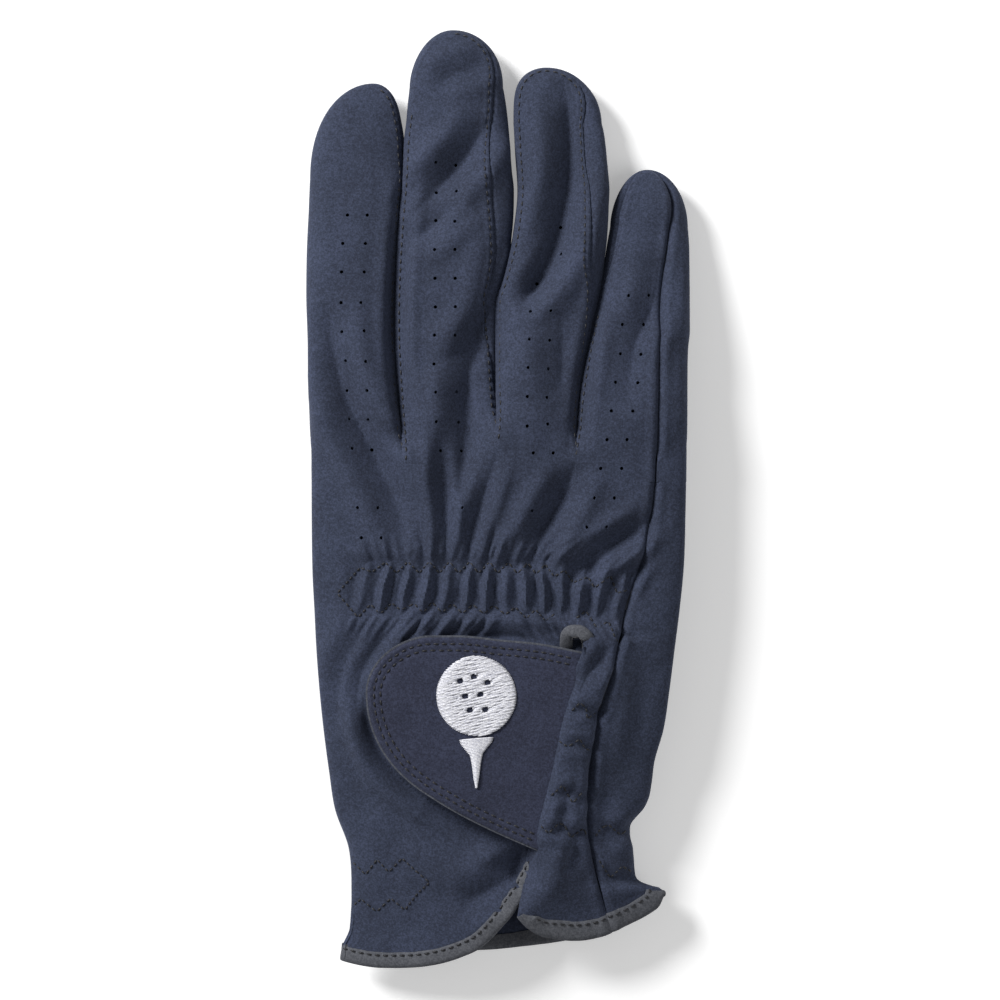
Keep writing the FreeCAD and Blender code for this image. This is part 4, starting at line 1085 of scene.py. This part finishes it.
def layStitch(start, end, up, width, rise, vertices, faces):
    # a low rounded bar whose ends sink into the cloth
    start, end, up = np.array(start), np.array(end), np.array(up)
    along = end - start
    length = np.linalg.norm(along)
    if length < 0.05:
        return
    along = along / length
    side = np.cross(up, along)
    side = side / max(np.linalg.norm(side), 1e-9)
    up = np.cross(along, side)
    first, sides, rings = len(vertices), thread["sides"], thread["rings"]
    for t, fat, lift in rings:
        middle = start + along * (t * length) + up * lift
        for k in range(sides):
            turn = 2 * math.pi * k / sides
            vertices.append(middle + side * (math.cos(turn) * width / 2 * fat)
                            + up * (math.sin(turn) * rise * fat * thread["domed"]))
    for ring in range(len(rings) - 1):
        for k in range(sides):
            a, b = first + ring * sides + k, first + ring * sides + (k + 1) % sides
            faces.append((a, b, b + sides, a + sides))
    faces.append(tuple(first + k for k in range(sides - 1, -1, -1)))
    last = first + (len(rings) - 1) * sides
    faces.append(tuple(last + k for k in range(sides)))


def stitchRow(tree, line, vertices, faces, pitch=thread["pitch"], length=thread["length"],
              lift=thread["lift"]):
    # a row of stitches laid along a plan line, each following the cloth under it
    path = curveThrough(line, 0.1)
    run = runAlong(path)
    count = int(run[-1] / pitch)
    for k in range(count):
        s = (k + 0.5) * run[-1] / count
        hits = [onTop(tree, *pointsAt(path, run, s + d)) for d in (-length / 2, length / 2)]
        if any(h is None for h in hits) or abs(hits[0][0][2] - hits[1][0][2]) > thread["steepest"] * length:
            continue
        up = hits[0][1] + hits[1][1]
        up = up / np.linalg.norm(up)
        # stitches on a steep side are pulled in
        level = float(ease((up[2] - thread["levelFrom"]) / thread["levelOver"]))
        sunk = up * (lift * level - thread["pulledIn"] * (1 - level))
        rise = thread["rise"] * (thread["flattened"] + (1 - thread["flattened"]) * level)
        layStitch(hits[0][0] + sunk, hits[1][0] + sunk, up, thread["width"], rise, vertices, faces)


def zigzagRow(tree, points, vertices, faces, longest=1.5, gap=0.12):
    # each straight of the zigzag is one or more stitches with a small gap between them
    for a, b in zip(points[:-1], points[1:]):
        parts = max(1, round(math.hypot(b[0] - a[0], b[1] - a[1]) / longest))
        for k in range(parts):
            p, q = ([a[i] + (b[i] - a[i]) * (k + share) / parts for i in (0, 1)]
                    for share in (gap, 1 - gap))
            length = math.hypot(q[0] - p[0], q[1] - p[1])
            stitchRow(tree, [p, q], vertices, faces, pitch=length * 0.99, length=length)


def inset(line, distance):
    # a plan line moved sideways by a distance, to the right of its direction
    path = curveThrough(line, 0.5)
    along = unit(np.gradient(path, axis=0))
    return path + distance * np.stack([along[:, 1], -along[:, 0]], axis=1)


tipReach = 14  # mm below the fingertip within which the round stretch may start


def sewnStretches(around, leftFrom, leftTo, tipFrom, rightTo):
    # the stretches of a finger's outline that are sewn: up its left side between two heights, then round
    # the tip from an X and down its right side to a height
    tip = int(np.argmax(around[:, 1]))
    stretches = []
    if leftTo is not None:
        first = int(np.argmax(around[:tip, 1] > leftFrom))
        last = tip if leftTo > around[tip, 1] else int(np.argmax(around[:tip, 1] > leftTo))
        stretches.append([first, last])
    if tipFrom is not None:
        first = int(np.argmax((around[:, 0] > tipFrom) & (around[:, 1] > around[tip, 1] - tipReach)))
        last = tip + int(np.argmax(around[tip:, 1] < rightTo))
        if stretches and stretches[0][1] >= first:
            stretches[0][1] = last
        else:
            stretches.append([first, last])
    return stretches


# for each finger: from and to on its left side, then the X and the height of the round stretch
sewnFrom = {"index": (None, None, -29.5, 9.0), "middle": (8.5, 97, -11.5, 15.0),
            "ring": (14.0, 200, 4, 10.0), "little": (9.5, 47, None, None)}
fingerSewing = {"apart": 1.6, "lift": 0.03}  # least distance of the line's points, height of its thread


def sewFinger(name, f):
    tree = treeOf(list(fingerGrids[name].values()) + [leftBack, flapGrid, palm])
    sewing = ([], [])
    leftLine, rightLine = [], []
    for y, section in fingerSkins[name][:-1]:
        cuts = seamRuns(name, section, y)
        leftLine.append((float(section.at(cuts[0] % section.whole)[0]), y))
        rightLine.append((float(section.at(cuts[1])[0]), y))
    around = np.array(leftLine + [(f["tipX"], f["tip"])] + rightLine[::-1])
    for first, last in sewnStretches(around, *sewnFrom[name]):
        kept = around[first:last]
        far = [0]
        for k in range(1, len(kept)):
            if np.hypot(*(kept[k] - kept[far[-1]])) > fingerSewing["apart"]:
                far.append(k)
        stitchRow(tree, inset(kept[far], lap["row"]), *sewing, lift=fingerSewing["lift"])
    obj = newObject(name + "_finger_stitches", *sewing, navyThread)
    rideFinger(obj)


for name, f in fingers.items():
    sewFinger(name, f)
toPrint("finger seams stitched")


zigzags = [
    # upper and lower row of the gathered band, from their shared point
    [(-40.1, -23.6), (-34.4, -17.2), (-31.5, -18.4), (-28.2, -15.9), (-25.4, -18.6), (-22.6, -15.8),
     (-19.75, -18.6), (-17.25, -15.8), (-14.75, -18.6), (-12.25, -15.8), (-10.1, -18.6), (-7.25, -15.8),
     (-5.1, -18.6), (-2.25, -15.9), (-0.4, -18.6), (2.4, -16), (4.6, -18.8), (7.1, -16.1), (9.3, -18.9),
     (11.5, -16.4), (13.7, -19.5), (16.2, -17.9), (18.4, -21), (22.1, -19.6), (23.7, -22.3),
     (27.6, -19.2), (29.3, -23.6), (32, -22.8)],
    [(-40.1, -23.6), (-35, -29.6), (-31.9, -26.4), (-29.4, -28.6), (-26.6, -26.1), (-24.4, -27.7),
     (-21, -26.2), (-18.8, -28.3), (-16.6, -25.8), (-14.1, -28.3), (-11.6, -26.2), (-9.1, -28.6),
     (-6.6, -26.4), (-3.8, -28.6), (-1.3, -26.6), (1.5, -28.9), (4, -27.1), (6.8, -29.9), (9, -27.7),
     (11.5, -30.5), (14, -28.6)],
    [(19, -29.9), (21.5, -28), (24.25, -32.2), (27.1, -30.6), (28.75, -34.6), (29.6, -36)],
    # wrist, index side
    [(-37.2, -92), (-36.6, -90.9), (-33.3, -94), (-30.4, -90.1), (-27.5, -93.2), (-24.1, -89.7),
     (-21, -92.6), (-17.25, -95.7), (-20.2, -98.4), (-23.5, -102.8), (-27, -99.9), (-30.6, -103.4),
     (-34.5, -100.3), (-36.4, -102)],
    # four short rows across the flap
    [(17.75, -52.75), (20, -50.5), (21.5, -51.75), (21.75, -54.5), (24.4, -53)],
    [(14.75, -60), (17, -61.5), (20, -59.5), (21.25, -62), (22.6, -62.5)],
    [(12.75, -73.75), (15.75, -71), (16.75, -73), (18.25, -75.5), (20.75, -72.75)],
    [(10.25, -81), (12.25, -83), (14.75, -80.5), (16.25, -81), (17.75, -84.25), (21, -82), (21.8, -84)],
    # wrist, little-finger side
    [(23.9, -84.25), (25.25, -82.25), (27.25, -81.25), (30.25, -84), (32, -82.8)],
    [(24.8, -90), (27.75, -94.75), (30.75, -91.75), (33.25, -93.5)],
]
handTree = treeOf([leftBack, flapGrid, palm])
handSewing = ([], [])
for points in zigzags:
    zigzagRow(handTree, points, *handSewing)
obj = newObject("hand_stitches", *handSewing, navyThread)
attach(obj, "hand")
toPrint("hand stitched")


def backZ(x, y):
    return handHeights(x, y)[0]


# binding tape: how deep it reaches, how much deeper on the flap, and where it narrows: at the flap's
# start, and before and past the fold of the palm's tape, over how far and to what share of its width
hemTape = {"width": 3.4, "flapExtra": 1.1, "flapFrom": 3, "flapOver": 14, "skin": 0.78, "sway": 0.12,
           "swayScale": 4.0, "stitchAt": 0.8, "stitchWidth": 0.5, "stitchRise": 0.2, "flapSewnFrom": 6.8,
           "flapStart": (4, 0.5), "beforeFold": (2.5, 0.7), "pastFold": (12, 0.2),
           "plainAtFold": (1.5, 9), "cuffMiddle": (2.0, -113, 6.0)}


def hemEdge(grid, columns=slice(None)):
    # edge points, outward directions and upward normals along the lowest row of a grid
    edge = grid[-1, columns]
    outward = unit(edge - grid[-4, columns])
    along = unit(np.gradient(edge, axis=0))
    outward = unit(outward - along * np.sum(outward * along, axis=1)[:, None])
    return edge, outward, np.cross(along, outward)


def tapeWidth(x):
    # the tape is folded deeper on the flap than on the rest of the cuff
    return hemTape["width"] + hemTape["flapExtra"] * ease((x - hemTape["flapFrom"]) / hemTape["flapOver"])


def tapeAround(name, edge, outward, up, width=hemTape["width"], skin=hemTape["skin"], narrowing=None):
    # tape folded round the raw edge: its section goes over the edge, down and back under the cloth
    section = [(-width, 0.10), (-width + 0.25, 0.34), (-width * 0.55, 0.5), (-0.5, 0.52), (0.25, 0.34),
               (0.58, -0.1), (0.6, -0.5), (0.35, -1.0), (-0.4, -skin - 0.45), (-width * 0.6, -skin - 0.42),
               (-width * 0.9, -skin - 0.36), (-width * 0.9, -skin - 0.06), (-0.3, -skin - 0.08),
               (0.12, -0.7), (0.2, -0.35), (0.0, 0.02), (-0.5, 0.1), (-width * 0.55, 0.08)]
    vertices = []
    for k in range(len(edge)):
        sway = hemTape["sway"] * float(ripple(edge[k][0], edge[k][1], hemTape["swayScale"], 1))
        narrow = float(tapeWidth(edge[k][0])) / hemTape["width"]
        narrow *= 1.0 if narrowing is None else narrowing[k]
        for o, n in section:
            o = o * narrow if o < 0 else o
            vertices.append(edge[k] + outward[k] * (o + (sway if o < -1 else 0)) + up[k] * n)
    count = len(section)
    faces = []
    for k in range(len(edge) - 1):
        for j in range(count):
            a, b = k * count + j, k * count + (j + 1) % count
            faces.append((a, b, b + count, a + count))
    faces.append(tuple(range(count - 1, -1, -1)))
    last = (len(edge) - 1) * count
    faces.append(tuple(last + j for j in range(count)))
    obj = newObject(name, vertices, faces, tape)
    turnFaces(obj)
    obj.data.set_sharp_from_angle(angle=math.radians(60))
    return obj


def tapeStitches(edge, outward, up, vertices, faces, width=hemTape["width"]):
    # a row of stitches along the tape's inner edge
    depth = (tapeWidth(edge[:, :1]) + width - hemTape["width"]) * hemTape["stitchAt"]
    path = edge - outward * depth + up * 0.5
    run = runAlong(path)
    count = int(run[-1] / thread["pitch"])
    for k in range(count):
        s = (k + 0.5) * run[-1] / count
        a, b = (pointsAt(path, run, s + d) for d in (-thread["length"] / 2, thread["length"] / 2))
        j = int(np.searchsorted(run, s))
        layStitch(a, b, up[min(j, len(up) - 1)], hemTape["stitchWidth"], hemTape["stitchRise"],
                  vertices, faces)


def widening(away, reach, least):
    # a tape's share of its full width, from the least at its start to 1 a reach away
    return least + (1 - least) * ease(away / reach)


def bindHem(name, grid, sewing):
    edge, outward, up = hemEdge(grid, slice(len(turned), None) if grid is flapGrid else slice(None))
    if grid is palm:
        flip = np.sum((edge - np.array(hemTape["cuffMiddle"])) * up) < 0
    else:
        flip = up[:, 2].mean() < 0
    up = -up if flip else up
    run = runAlong(edge)
    narrowing, stretches = None, [slice(None)]
    if grid is flapGrid:
        narrowing = widening(run, *hemTape["flapStart"])
        stretches = [slice(int(np.argmax(edge[:, 0] > hemTape["flapSewnFrom"])), None)]
    elif grid is palm:
        # narrow on the under layer beside the fold, where it would look out past the cloth
        fold = run[int(np.argmax(edge[:, 0]))]
        narrowing = np.where(run < fold, widening(fold - run, *hemTape["beforeFold"]),
                             widening(run - fold, *hemTape["pastFold"]))
        before, past = hemTape["plainAtFold"]
        stretches = [slice(0, int(np.argmax(run > fold - before))),
                     slice(int(np.argmax(run > fold + past)), None)]
    obj = tapeAround(name, edge, outward, up, narrowing=narrowing)
    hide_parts(name)
    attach(obj, "hand")
    for part in stretches:
        tapeStitches(edge[part], outward[part], up[part], *sewing)


# the short tape over the top of the opening, from its left foot over the arch to its right foot
slitArch = {"line": [(15.6, -36.8), (15.9, -33.6), (17.4, -32.1), (19.6, -31.9), (21.7, -32.9),
                     (23.0, -34.6), (23.2, -37)],
            "rise": [(0, 0.2), (0.15, 1.6), (0.35, 2.5), (0.7, 3.2), (0.9, 2.4), (1, 1.5)],
            "width": 2.0, "skin": 0.5}


def bindSlit(sewing):
    plan = curveThrough(slitArch["line"], 0.4)
    rise = smoothLine(slitArch["rise"])(np.linspace(0, 1, len(plan)))
    edge = np.column_stack([plan, backZ(*plan.T) + rise])
    along = unit(np.gradient(edge, axis=0))
    up = unit(np.array([0.0, 0.0, 1.0]) - along * along[:, 2:])
    outward = np.cross(up, along)
    obj = tapeAround("slit_binding", edge, outward, up, slitArch["width"], slitArch["skin"])
    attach(obj, "hand")
    tapeStitches(edge[3:-3], outward[3:-3], up[3:-3], *sewing, width=slitArch["width"])


tapeSewing = ([], [])
for name, grid in (("left_hem_binding", leftBack), ("flap_hem_binding", flapGrid),
                   ("palm_hem_binding", palm)):
    bindHem(name, grid, tapeSewing)
bindSlit(tapeSewing)
obj = newObject("hem_stitches", *tapeSewing, navyThread)
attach(obj, "hand")
toPrint("edges bound")


# the closing tab's outline from its root over the nose, and its layers from the hooks up:
# how far each lies in from the outline, its height over the hand and its thickness
tab = {
    "outline": [(20.5, -38), (10.25, -36), (0.25, -35), (-9.75, -34), (-17.25, -34), (-23.5, -35.5),
                (-28.5, -38.7), (-31.6, -42.7), (-33, -48), (-32.4, -54.25), (-30.25, -60.5),
                (-26.75, -66), (-22.25, -70.5), (-16, -74.9), (-9.75, -78.6), (-2.25, -82.4), (9.5, -87.6)],
    "loop": (3.6, 0.95, 0.85), "hook": (5.2, 2.1, 0.8), "lining": (0.0, 2.72, 0.6),
    "cover": (0.45, 3.4, 0.62), "loopFollows": 0.6,
    "rows": (1.6, 3.2), "rowDip": 0.2, "rowWidth": 0.55, "roundOff": 0.35, "pitch": 2.05,
}


def tabPlan(shrink, along=70, across=60):
    # plan points inside the tab's outline, in lines that run from its upper to its lower edge
    path = curveThrough(tab["outline"], 0.25)
    if shrink:
        path = inset(path, -shrink)
    nose = int(np.argmin(path[:, 0]))
    edges = []
    for line in (path[:nose + 1][::-1], path[nose:]):
        run = runAlong(line)
        edges.append(pointsAt(line, run, run[-1] * np.linspace(0, 1, along)))
    t = np.linspace(0, 1, across)[:, None, None]
    return edges[0][None] * (1 - t) + edges[1][None] * t


def overHand(x, y, height):
    # a grid of plan places set at a height over the smooth back of the hand
    return np.stack([x, y, backZ(x, y) + height], axis=2)


def bendAtFold(obj):
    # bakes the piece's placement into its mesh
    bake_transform(obj)


def layLoops():
    # the loop pile lies on the back of the hand and follows its gathers, but less deeply
    shrink, height, thickness = tab["loop"]
    plan = tabPlan(shrink)
    x, y = plan[..., 0], plan[..., 1]
    grid = overHand(x, y, clothHeight(x, y) * tab["loopFollows"] + height)
    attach(cutCloth(["loop_patch"], grid, loopTape, thickness, upward=True), "hand")


def layFlat(node, layer, material):
    # hooks and lining lie smoothly over the hand
    shrink, height, thickness = tab[layer]
    plan = tabPlan(shrink)
    return cutCloth([node], overHand(plan[..., 0], plan[..., 1], height), material, thickness, upward=True)


def coverPoints():
    # the cover rounds off at its edge and dips under its two rows of stitches
    shrink, height, _ = tab["cover"]
    plan = tabPlan(shrink, 110, 100)
    x, y = plan[..., 0], plan[..., 1]
    nearest = np.full(x.shape, 1e9)
    for px, py in curveThrough(tab["outline"], 0.5):
        nearest = np.minimum(nearest, (x - px) ** 2 + (y - py) ** 2)
    gap = np.sqrt(nearest) - shrink
    rowDip = sum(-tab["rowDip"] * np.exp(-((gap - row) / tab["rowWidth"]) ** 2) for row in tab["rows"])
    edgeRound = -tab["roundOff"] * np.exp(-(gap / 0.5) ** 2)
    return overHand(x, y, height + rowDip + edgeRound + uneven(x, y, tabUneven))


layLoops()
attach(layFlat("hook_patch", "hook", hookTape), "tab")
lining = layFlat("tab_lining", "lining", cutEdge)
bendAtFold(lining)
coverGrid = coverPoints()
cover = cutCloth(["tab_cover"], coverGrid, tabMicrofibre, tab["cover"][2], upward=True, rim=cutEdge)
bendAtFold(cover)
tabTree = treeOf([coverGrid])
tabSewing = ([], [])
for row in tab["rows"]:
    path = inset(tab["outline"], -(row + tab["cover"][0]))
    stitchRow(tabTree, path[4:-4], *tabSewing, pitch=tab["pitch"])
obj = newObject("tab_stitches", *tabSewing, navyThread)
bendAtFold(obj)
toPrint("tab built")


# embroidery: a golf ball on its tee, in white satin stitch; the tee is its left and right side and Y
motif = {"ball": (-5.6, -48.9, 9.9), "thread": 0.6, "pitch": 0.36, "slope": 0.22, "longest": 9.5,
         "lift": 0.42, "rise": 0.2, "dimple": 0.75, "teeSlant": 0.35,
         "tee": [(-4.2, 4.2, -59.6), (-3.9, 3.9, -60.6), (-1.6, 1.6, -63.4), (-1.1, 1.1, -66),
                 (-0.7, 0.7, -69.2), (-0.15, 0.15, -71.6)],
         "dimples": [(-9.6, -45.2), (-6.2, -44.2), (-2.8, -45.6), (-8.4, -48.9), (-4.6, -48.6),
                     (-7.2, -52.4), (-3.4, -52.2)]}


def satin(spans, vertices, faces):
    # fills flat shapes with side-by-side threads; each span is one thread's two ends
    for ends in spans:
        hits = [onTop(tabTree, *end) for end in ends]
        if not any(h is None for h in hits):
            a, b = (place + normal * motif["lift"] for place, normal in hits)
            layStitch(a, b, hits[0][1], motif["thread"], motif["rise"], vertices, faces)


def ballSpans():
    # slanting rows of thread, each cut in lengths and left open over the dimples
    cx, cy, radius = motif["ball"]
    c, s = math.cos(motif["slope"]), math.sin(motif["slope"])
    spans = []
    for k in range(int(2 * radius / motif["pitch"])):
        v = -radius + (k + 0.5) * motif["pitch"]
        reach = math.sqrt(max(0, radius**2 - v * v))
        cuts = [-reach]
        place = -reach + 3.0 + (k * 0.618 % 1) * 7
        while place < reach - 2.5:
            cuts.append(place)
            place += motif["longest"]
        cuts.append(reach)
        for a, b in zip(cuts[:-1], cuts[1:]):
            pieces = [(a, b)]
            for dx, dy in motif["dimples"]:
                du, dv = (dx - cx) * c + (dy - cy) * s, -(dx - cx) * s + (dy - cy) * c
                if abs(v - dv) < motif["dimple"]:
                    hole = math.sqrt(motif["dimple"]**2 - (v - dv) ** 2)
                    sides = [side for p in pieces for side in ((p[0], min(p[1], du - hole)),
                                                               (max(p[0], du + hole), p[1]))]
                    pieces = [side for side in sides if side[1] - side[0] > 0.3]
            spans += [[(cx + u * c - v * s, cy + u * s + v * c) for u in p] for p in pieces]
    return spans


def teeSpans():
    lefts, rights, heights = np.array(motif["tee"]).T
    spans = []
    y = heights[0]
    while y > heights[-1]:
        a, b = (motif["ball"][0] + float(np.interp(-y, -heights, side)) for side in (lefts, rights))
        spans.append([(a, y - motif["teeSlant"]), (b, y + motif["teeSlant"])])
        y -= motif["pitch"]
    return spans


embroidery = ([], [])
satin(ballSpans() + teeSpans(), *embroidery)
obj = newObject("embroidered_motif", *embroidery, whiteThread)
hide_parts("embroidered_motif")
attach(obj, "tab")
toPrint("motif embroidered")


# elastics inside the cloth: where each starts and ends, how deep it lies and how thick it is
elastics = {
    "knuckle": {"x": (-38.5, 33.0), "y": (-16.2, -27.8), "deep": 0.9, "thick": 0.5},
    "flap": {"fromEdge": (3.0, 9.0), "y": (-42, -99), "deep": 0.95, "thick": 0.45},
    "wrist": {"x": (-17.5, 24.0), "y": (-90.5, -99.8), "deep": 1.05, "thick": 0.45},
}


def layElastic(name, x, y, lift):
    e = elastics[name]
    grid = overHand(x, y, lift + clothHeight(x, y) - e["deep"])
    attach(cutCloth([name + "_elastic"], grid, elasticWebbing, e["thick"], upward=True), "hand")


def layWristElastic():
    # round the palm side, from under the thumb to the flap
    e = elastics["wrist"]
    rows = []
    for y in np.linspace(*e["y"], 12):
        section = handSection(y)
        left, right = (float(section.onTopAt(x)) for x in e["x"])
        run = np.linspace(section.whole + left, right, 200)
        px, pz = section.at(run % section.whole)
        qx, qz = section.at((run + 0.05) % section.whole)
        size = np.hypot(qx - px, qz - pz)
        nx, nz = -(qz - pz) / size, (qx - px) / size
        rows.append(np.stack([px - nx * e["deep"], np.full(200, y), pz - nz * e["deep"]], axis=1))
    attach(cutCloth(["wrist_elastic"], np.array(rows), elasticWebbing, e["thick"]), "hand")


knuckleX, knuckleY = np.meshgrid(np.linspace(*elastics["knuckle"]["x"], 150),
                                 np.linspace(*elastics["knuckle"]["y"], 14))
layElastic("knuckle", knuckleX, knuckleY, 0)
flapY = np.linspace(*elastics["flap"]["y"], 90)[:, None] * np.ones((1, 10))
flapX = flapEdge(flapY) + np.linspace(*elastics["flap"]["fromEdge"], 10)
layElastic("flap", flapX, flapY, flapLift(flapX, flapY))
layWristElastic()

# the strip that anchors the tab under the flap: distance past the fold line and height over the hand
anchor = {"fold": [(20.4, -36.6), (8.2, -85.6)], "y": (-38.5, -86.0), "thick": 0.8,
          "section": [(1.2, 2.9), (2.2, 2.8), (3.4, 2.2), (4.8, 1.5), (6.2, 1.15)]}


def layAnchor():
    (topX, topY), (lowX, lowY) = anchor["fold"]
    past, lift = np.array(anchor["section"]).T
    y = np.linspace(*anchor["y"], 40)[:, None] * np.ones((1, len(past)))
    x = topX + (lowX - topX) * (topY - y) / (topY - lowY) + past
    grid = overHand(x, y, lift)
    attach(cutCloth(["tab_anchor"], grid, elasticWebbing, anchor["thick"], upward=True), "hand")


layAnchor()
toPrint("elastics set in")


# the thumb, folded under the palm; its heights are against the distance from its root
thumb = {
    "edge": -44.0,          # X of the line where it leaves the palm
    "root": (-32.8, -36.0), "toward": (0.809, 0.588), "tipStart": 40.0, "tip": 50.0,
    "half": [(-11, 13.4), (0, 12.4), (20, 11.4), (40, 10.2), (50, 9.8)],
    "top": [(-11, 6.9), (-3, 6.4), (5, 5.9), (50, 5.8)],
    "bottom": [(-11, 6.2), (-7, 5.0), (-1, 1.9), (5, 0.3), (10, 0.15), (50, 0.15)],
    "squareness": 2.5, "creaseTop": 4.7, "creasePast": 5.7,
    "rootOver": 16, "riseOver": 9,  # over which the root turns to the palm's edge and rises to its cloth
    "joints": (9.0, 24.0), "jointDip": 0.5, "seamDip": 0.4, "sunk": 0.12, "seamFromEdge": 4,
    "threadSunk": 0.1, "threadFlat": 0.6,
    "inEdge": 1.6, "overEdge": 0.3,     # least distance from the palm's outline, height over its skin
    "creaseFrom": (-37.5, 5), "dipFrom": (-43.6, 2.4),  # X and reach of the crease and of its dip
    "seamWidth": 0.7, "jointWidth": 1.5,
}
thumbStart = thumb["half"][0][0]


def thumbSections():
    half, top, bottom = (smoothLine(thumb[k]) for k in ("half", "top", "bottom"))
    turn = np.linspace(0, math.pi / 2, 22)
    places = np.concatenate([np.arange(thumbStart, thumb["tipStart"], 0.8),
                             thumb["tipStart"] + (thumb["tip"] - thumb["tipStart"]) * np.sin(turn)])
    u, v = roundBox(thumb["squareness"], thumb["squareness"])
    made = []
    for place in places:
        t = tipShare(thumb, place)
        reach = float(half(place)) * math.sqrt(max(0.0, 1 - t**2.2))
        centre, deep = float(top(place) + bottom(place)) / 2, float(top(place) - bottom(place)) / 2
        deep *= max(0.0, 1 - t**2.4) ** 0.5
        made.append((place, Section(reach * u, centre + deep * v, (len(u) + 1) // 2)))
    return made


def thumbPanel(first, last, columns):
    dx, dy = thumb["toward"]
    rows, dips = [], []
    for place, section in thumbSections():
        run = np.linspace(first, last, columns) * section.whole
        across, z = section.at(run % section.whole)
        # near the palm's edge the rows turn to lie along it and rise to the palm's cloth
        share = 1 - float(ease((place - thumbStart) / thumb["rootOver"]))
        toEdge = (thumb["edge"] - thumb["root"][0] - dy * across) / dx - thumbStart
        along = place + toEdge * share
        y = thumb["root"][1] + dy * along - dx * across
        x = np.maximum(thumb["root"][0] + dx * along + dy * across, handLeft(y) + thumb["inEdge"])
        middle = (section.z.max() + section.z.min()) / 2
        rise = 1 - ease((place - thumbStart) / thumb["riseOver"])
        z = z + (handHeights(x, y)[1] + thumb["overEdge"] - middle) * rise
        # the cloth dips along the crease, so the thumb folded out stays on the table
        pastCrease, intoDip = (ease((x - start) / reach)
                               for start, reach in (thumb["creaseFrom"], thumb["dipFrom"]))
        crease = thumb["creaseTop"] + (thumb["creasePast"] - thumb["creaseTop"]) * pastCrease
        z = z - np.maximum(z - crease, 0) * intoDip
        rows.append(np.stack([x, y, z], axis=1))
        seams = ((run - edge * section.whole) / thumb["seamWidth"] for edge in (first, last))
        dips.append(sum(-thumb["seamDip"] * np.exp(-away ** 2) for away in seams))
    grid = np.array(rows)
    x, y = grid[..., 0], grid[..., 1]
    normal = gridNormals(grid)
    if (normal[..., 2].mean() > 0) != (first < 0.25):
        normal = -normal
    height = np.array(dips) - thumb["sunk"] + uneven(x, y, thumbUneven)
    along = (x - thumb["root"][0]) * dx + (y - thumb["root"][1]) * dy
    for place in thumb["joints"]:
        height = height - thumb["jointDip"] * np.exp(-((along - place) / thumb["jointWidth"]) ** 2)
    return grid + normal * np.minimum(height, 0.0)[..., None]


def rideThumb(obj):
    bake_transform(obj)


def sewThumb(grid):
    # a row of stitches along each side, on the face that lies on the table
    sewing = ([], [])
    for column in (thumb["seamFromEdge"], grid.shape[1] - thumb["seamFromEdge"] - 1):
        line = grid[10:-3, column]
        out = gridNormals(grid)[10:-3, column]
        out = out * (-1 if out[:, 2].mean() > 0 else 1)
        run = runAlong(line)
        for k in range(int(run[-1] / thread["pitch"])):
            s = (k + 0.5) * thread["pitch"]
            normal = out[int(np.searchsorted(run, s))]
            a, b = (pointsAt(line, run, s + d) - normal * thumb["threadSunk"]
                    for d in (-thread["length"] / 2, thread["length"] / 2))
            layStitch(a, b, normal, thread["width"], thread["rise"] * thumb["threadFlat"], *sewing)
    rideThumb(newObject("thumb_stitches", *sewing, navyThread))


thumbTop, thumbBase = thumbPanel(0.02, 0.48, 46), thumbPanel(0.48, 1.02, 54)
rideThumb(cutCloth(["thumb_top"], thumbTop, microfibre, hand["cloth"], upward=True))
rideThumb(cutCloth(["thumb_base", "thumb_crease"], thumbBase, microfibre, hand["cloth"], upward=False))
sewThumb(thumbBase)
toPrint("thumb sewn")


view = {"height": 1010, "lens": 144, "sensor": 36, "centre": (0.25, -0.5)}  # straight down, lengths in mm
lamps = [
    # name, place in metres, size, power
    ("windowLeft", (-1.07, 0.88, 0.88), 0.6, 35.5),
    ("fillRight", (1.2, -0.4, 1.3), 1.4, 7.0),
]
skyStrength = 0.22


def cameraAndLight():
    camera = bpy.data.cameras.new("camera")
    camera.lens, camera.sensor_width = view["lens"], view["sensor"]
    holder = bpy.data.objects.new("camera", camera)
    x, y = view["centre"]
    holder.location = (x * millimetre, y * millimetre, view["height"] * millimetre)
    bpy.context.scene.collection.objects.link(holder)
    bpy.context.scene.camera = holder
    for name, place, size, power in lamps:
        light = bpy.data.lights.new(name, "AREA")
        light.shape, light.size, light.energy = "DISK", size, power
        lamp = bpy.data.objects.new(name, light)
        lamp.location = place
        lamp.rotation_euler = (-Vector(place)).to_track_quat("-Z", "Y").to_euler()
        bpy.context.scene.collection.objects.link(lamp)
    world = bpy.data.worlds.new("world")
    world.use_nodes = True
    background = world.node_tree.nodes["Background"]
    background.inputs["Color"].default_value = (1, 1, 1, 1)
    background.inputs["Strength"].default_value = skyStrength
    bpy.context.scene.world = world
    bpy.context.scene.view_settings.view_transform = "Standard"


def paleFloor():
    bpy.ops.mesh.primitive_plane_add(size=6, location=(0, 0, -0.0002))  # just under the palm
    floor = bpy.context.object
    floor.name = "floor"
    material, tree, shader, _ = startMaterial("paleFloor", 0.9)
    shader.inputs["Base Color"].default_value = linear("#f6f6f6")
    output = tree.nodes["Material Output"]
    lit = addNode(tree, "ShaderNodeLightPath").outputs["Is Camera Ray"]
    glow = addNode(tree, "ShaderNodeEmission", {"Strength": lit})  # lifts the floor's white a little
    glow.inputs["Color"].default_value = (0.3, 0.3, 0.3, 1)
    both = addNode(tree, "ShaderNodeAddShader", {0: shader.outputs[0], 1: glow.outputs[0]})
    tree.links.new(both.outputs[0], output.inputs["Surface"])
    floor.data.materials.append(material)


cameraAndLight()
paleFloor()
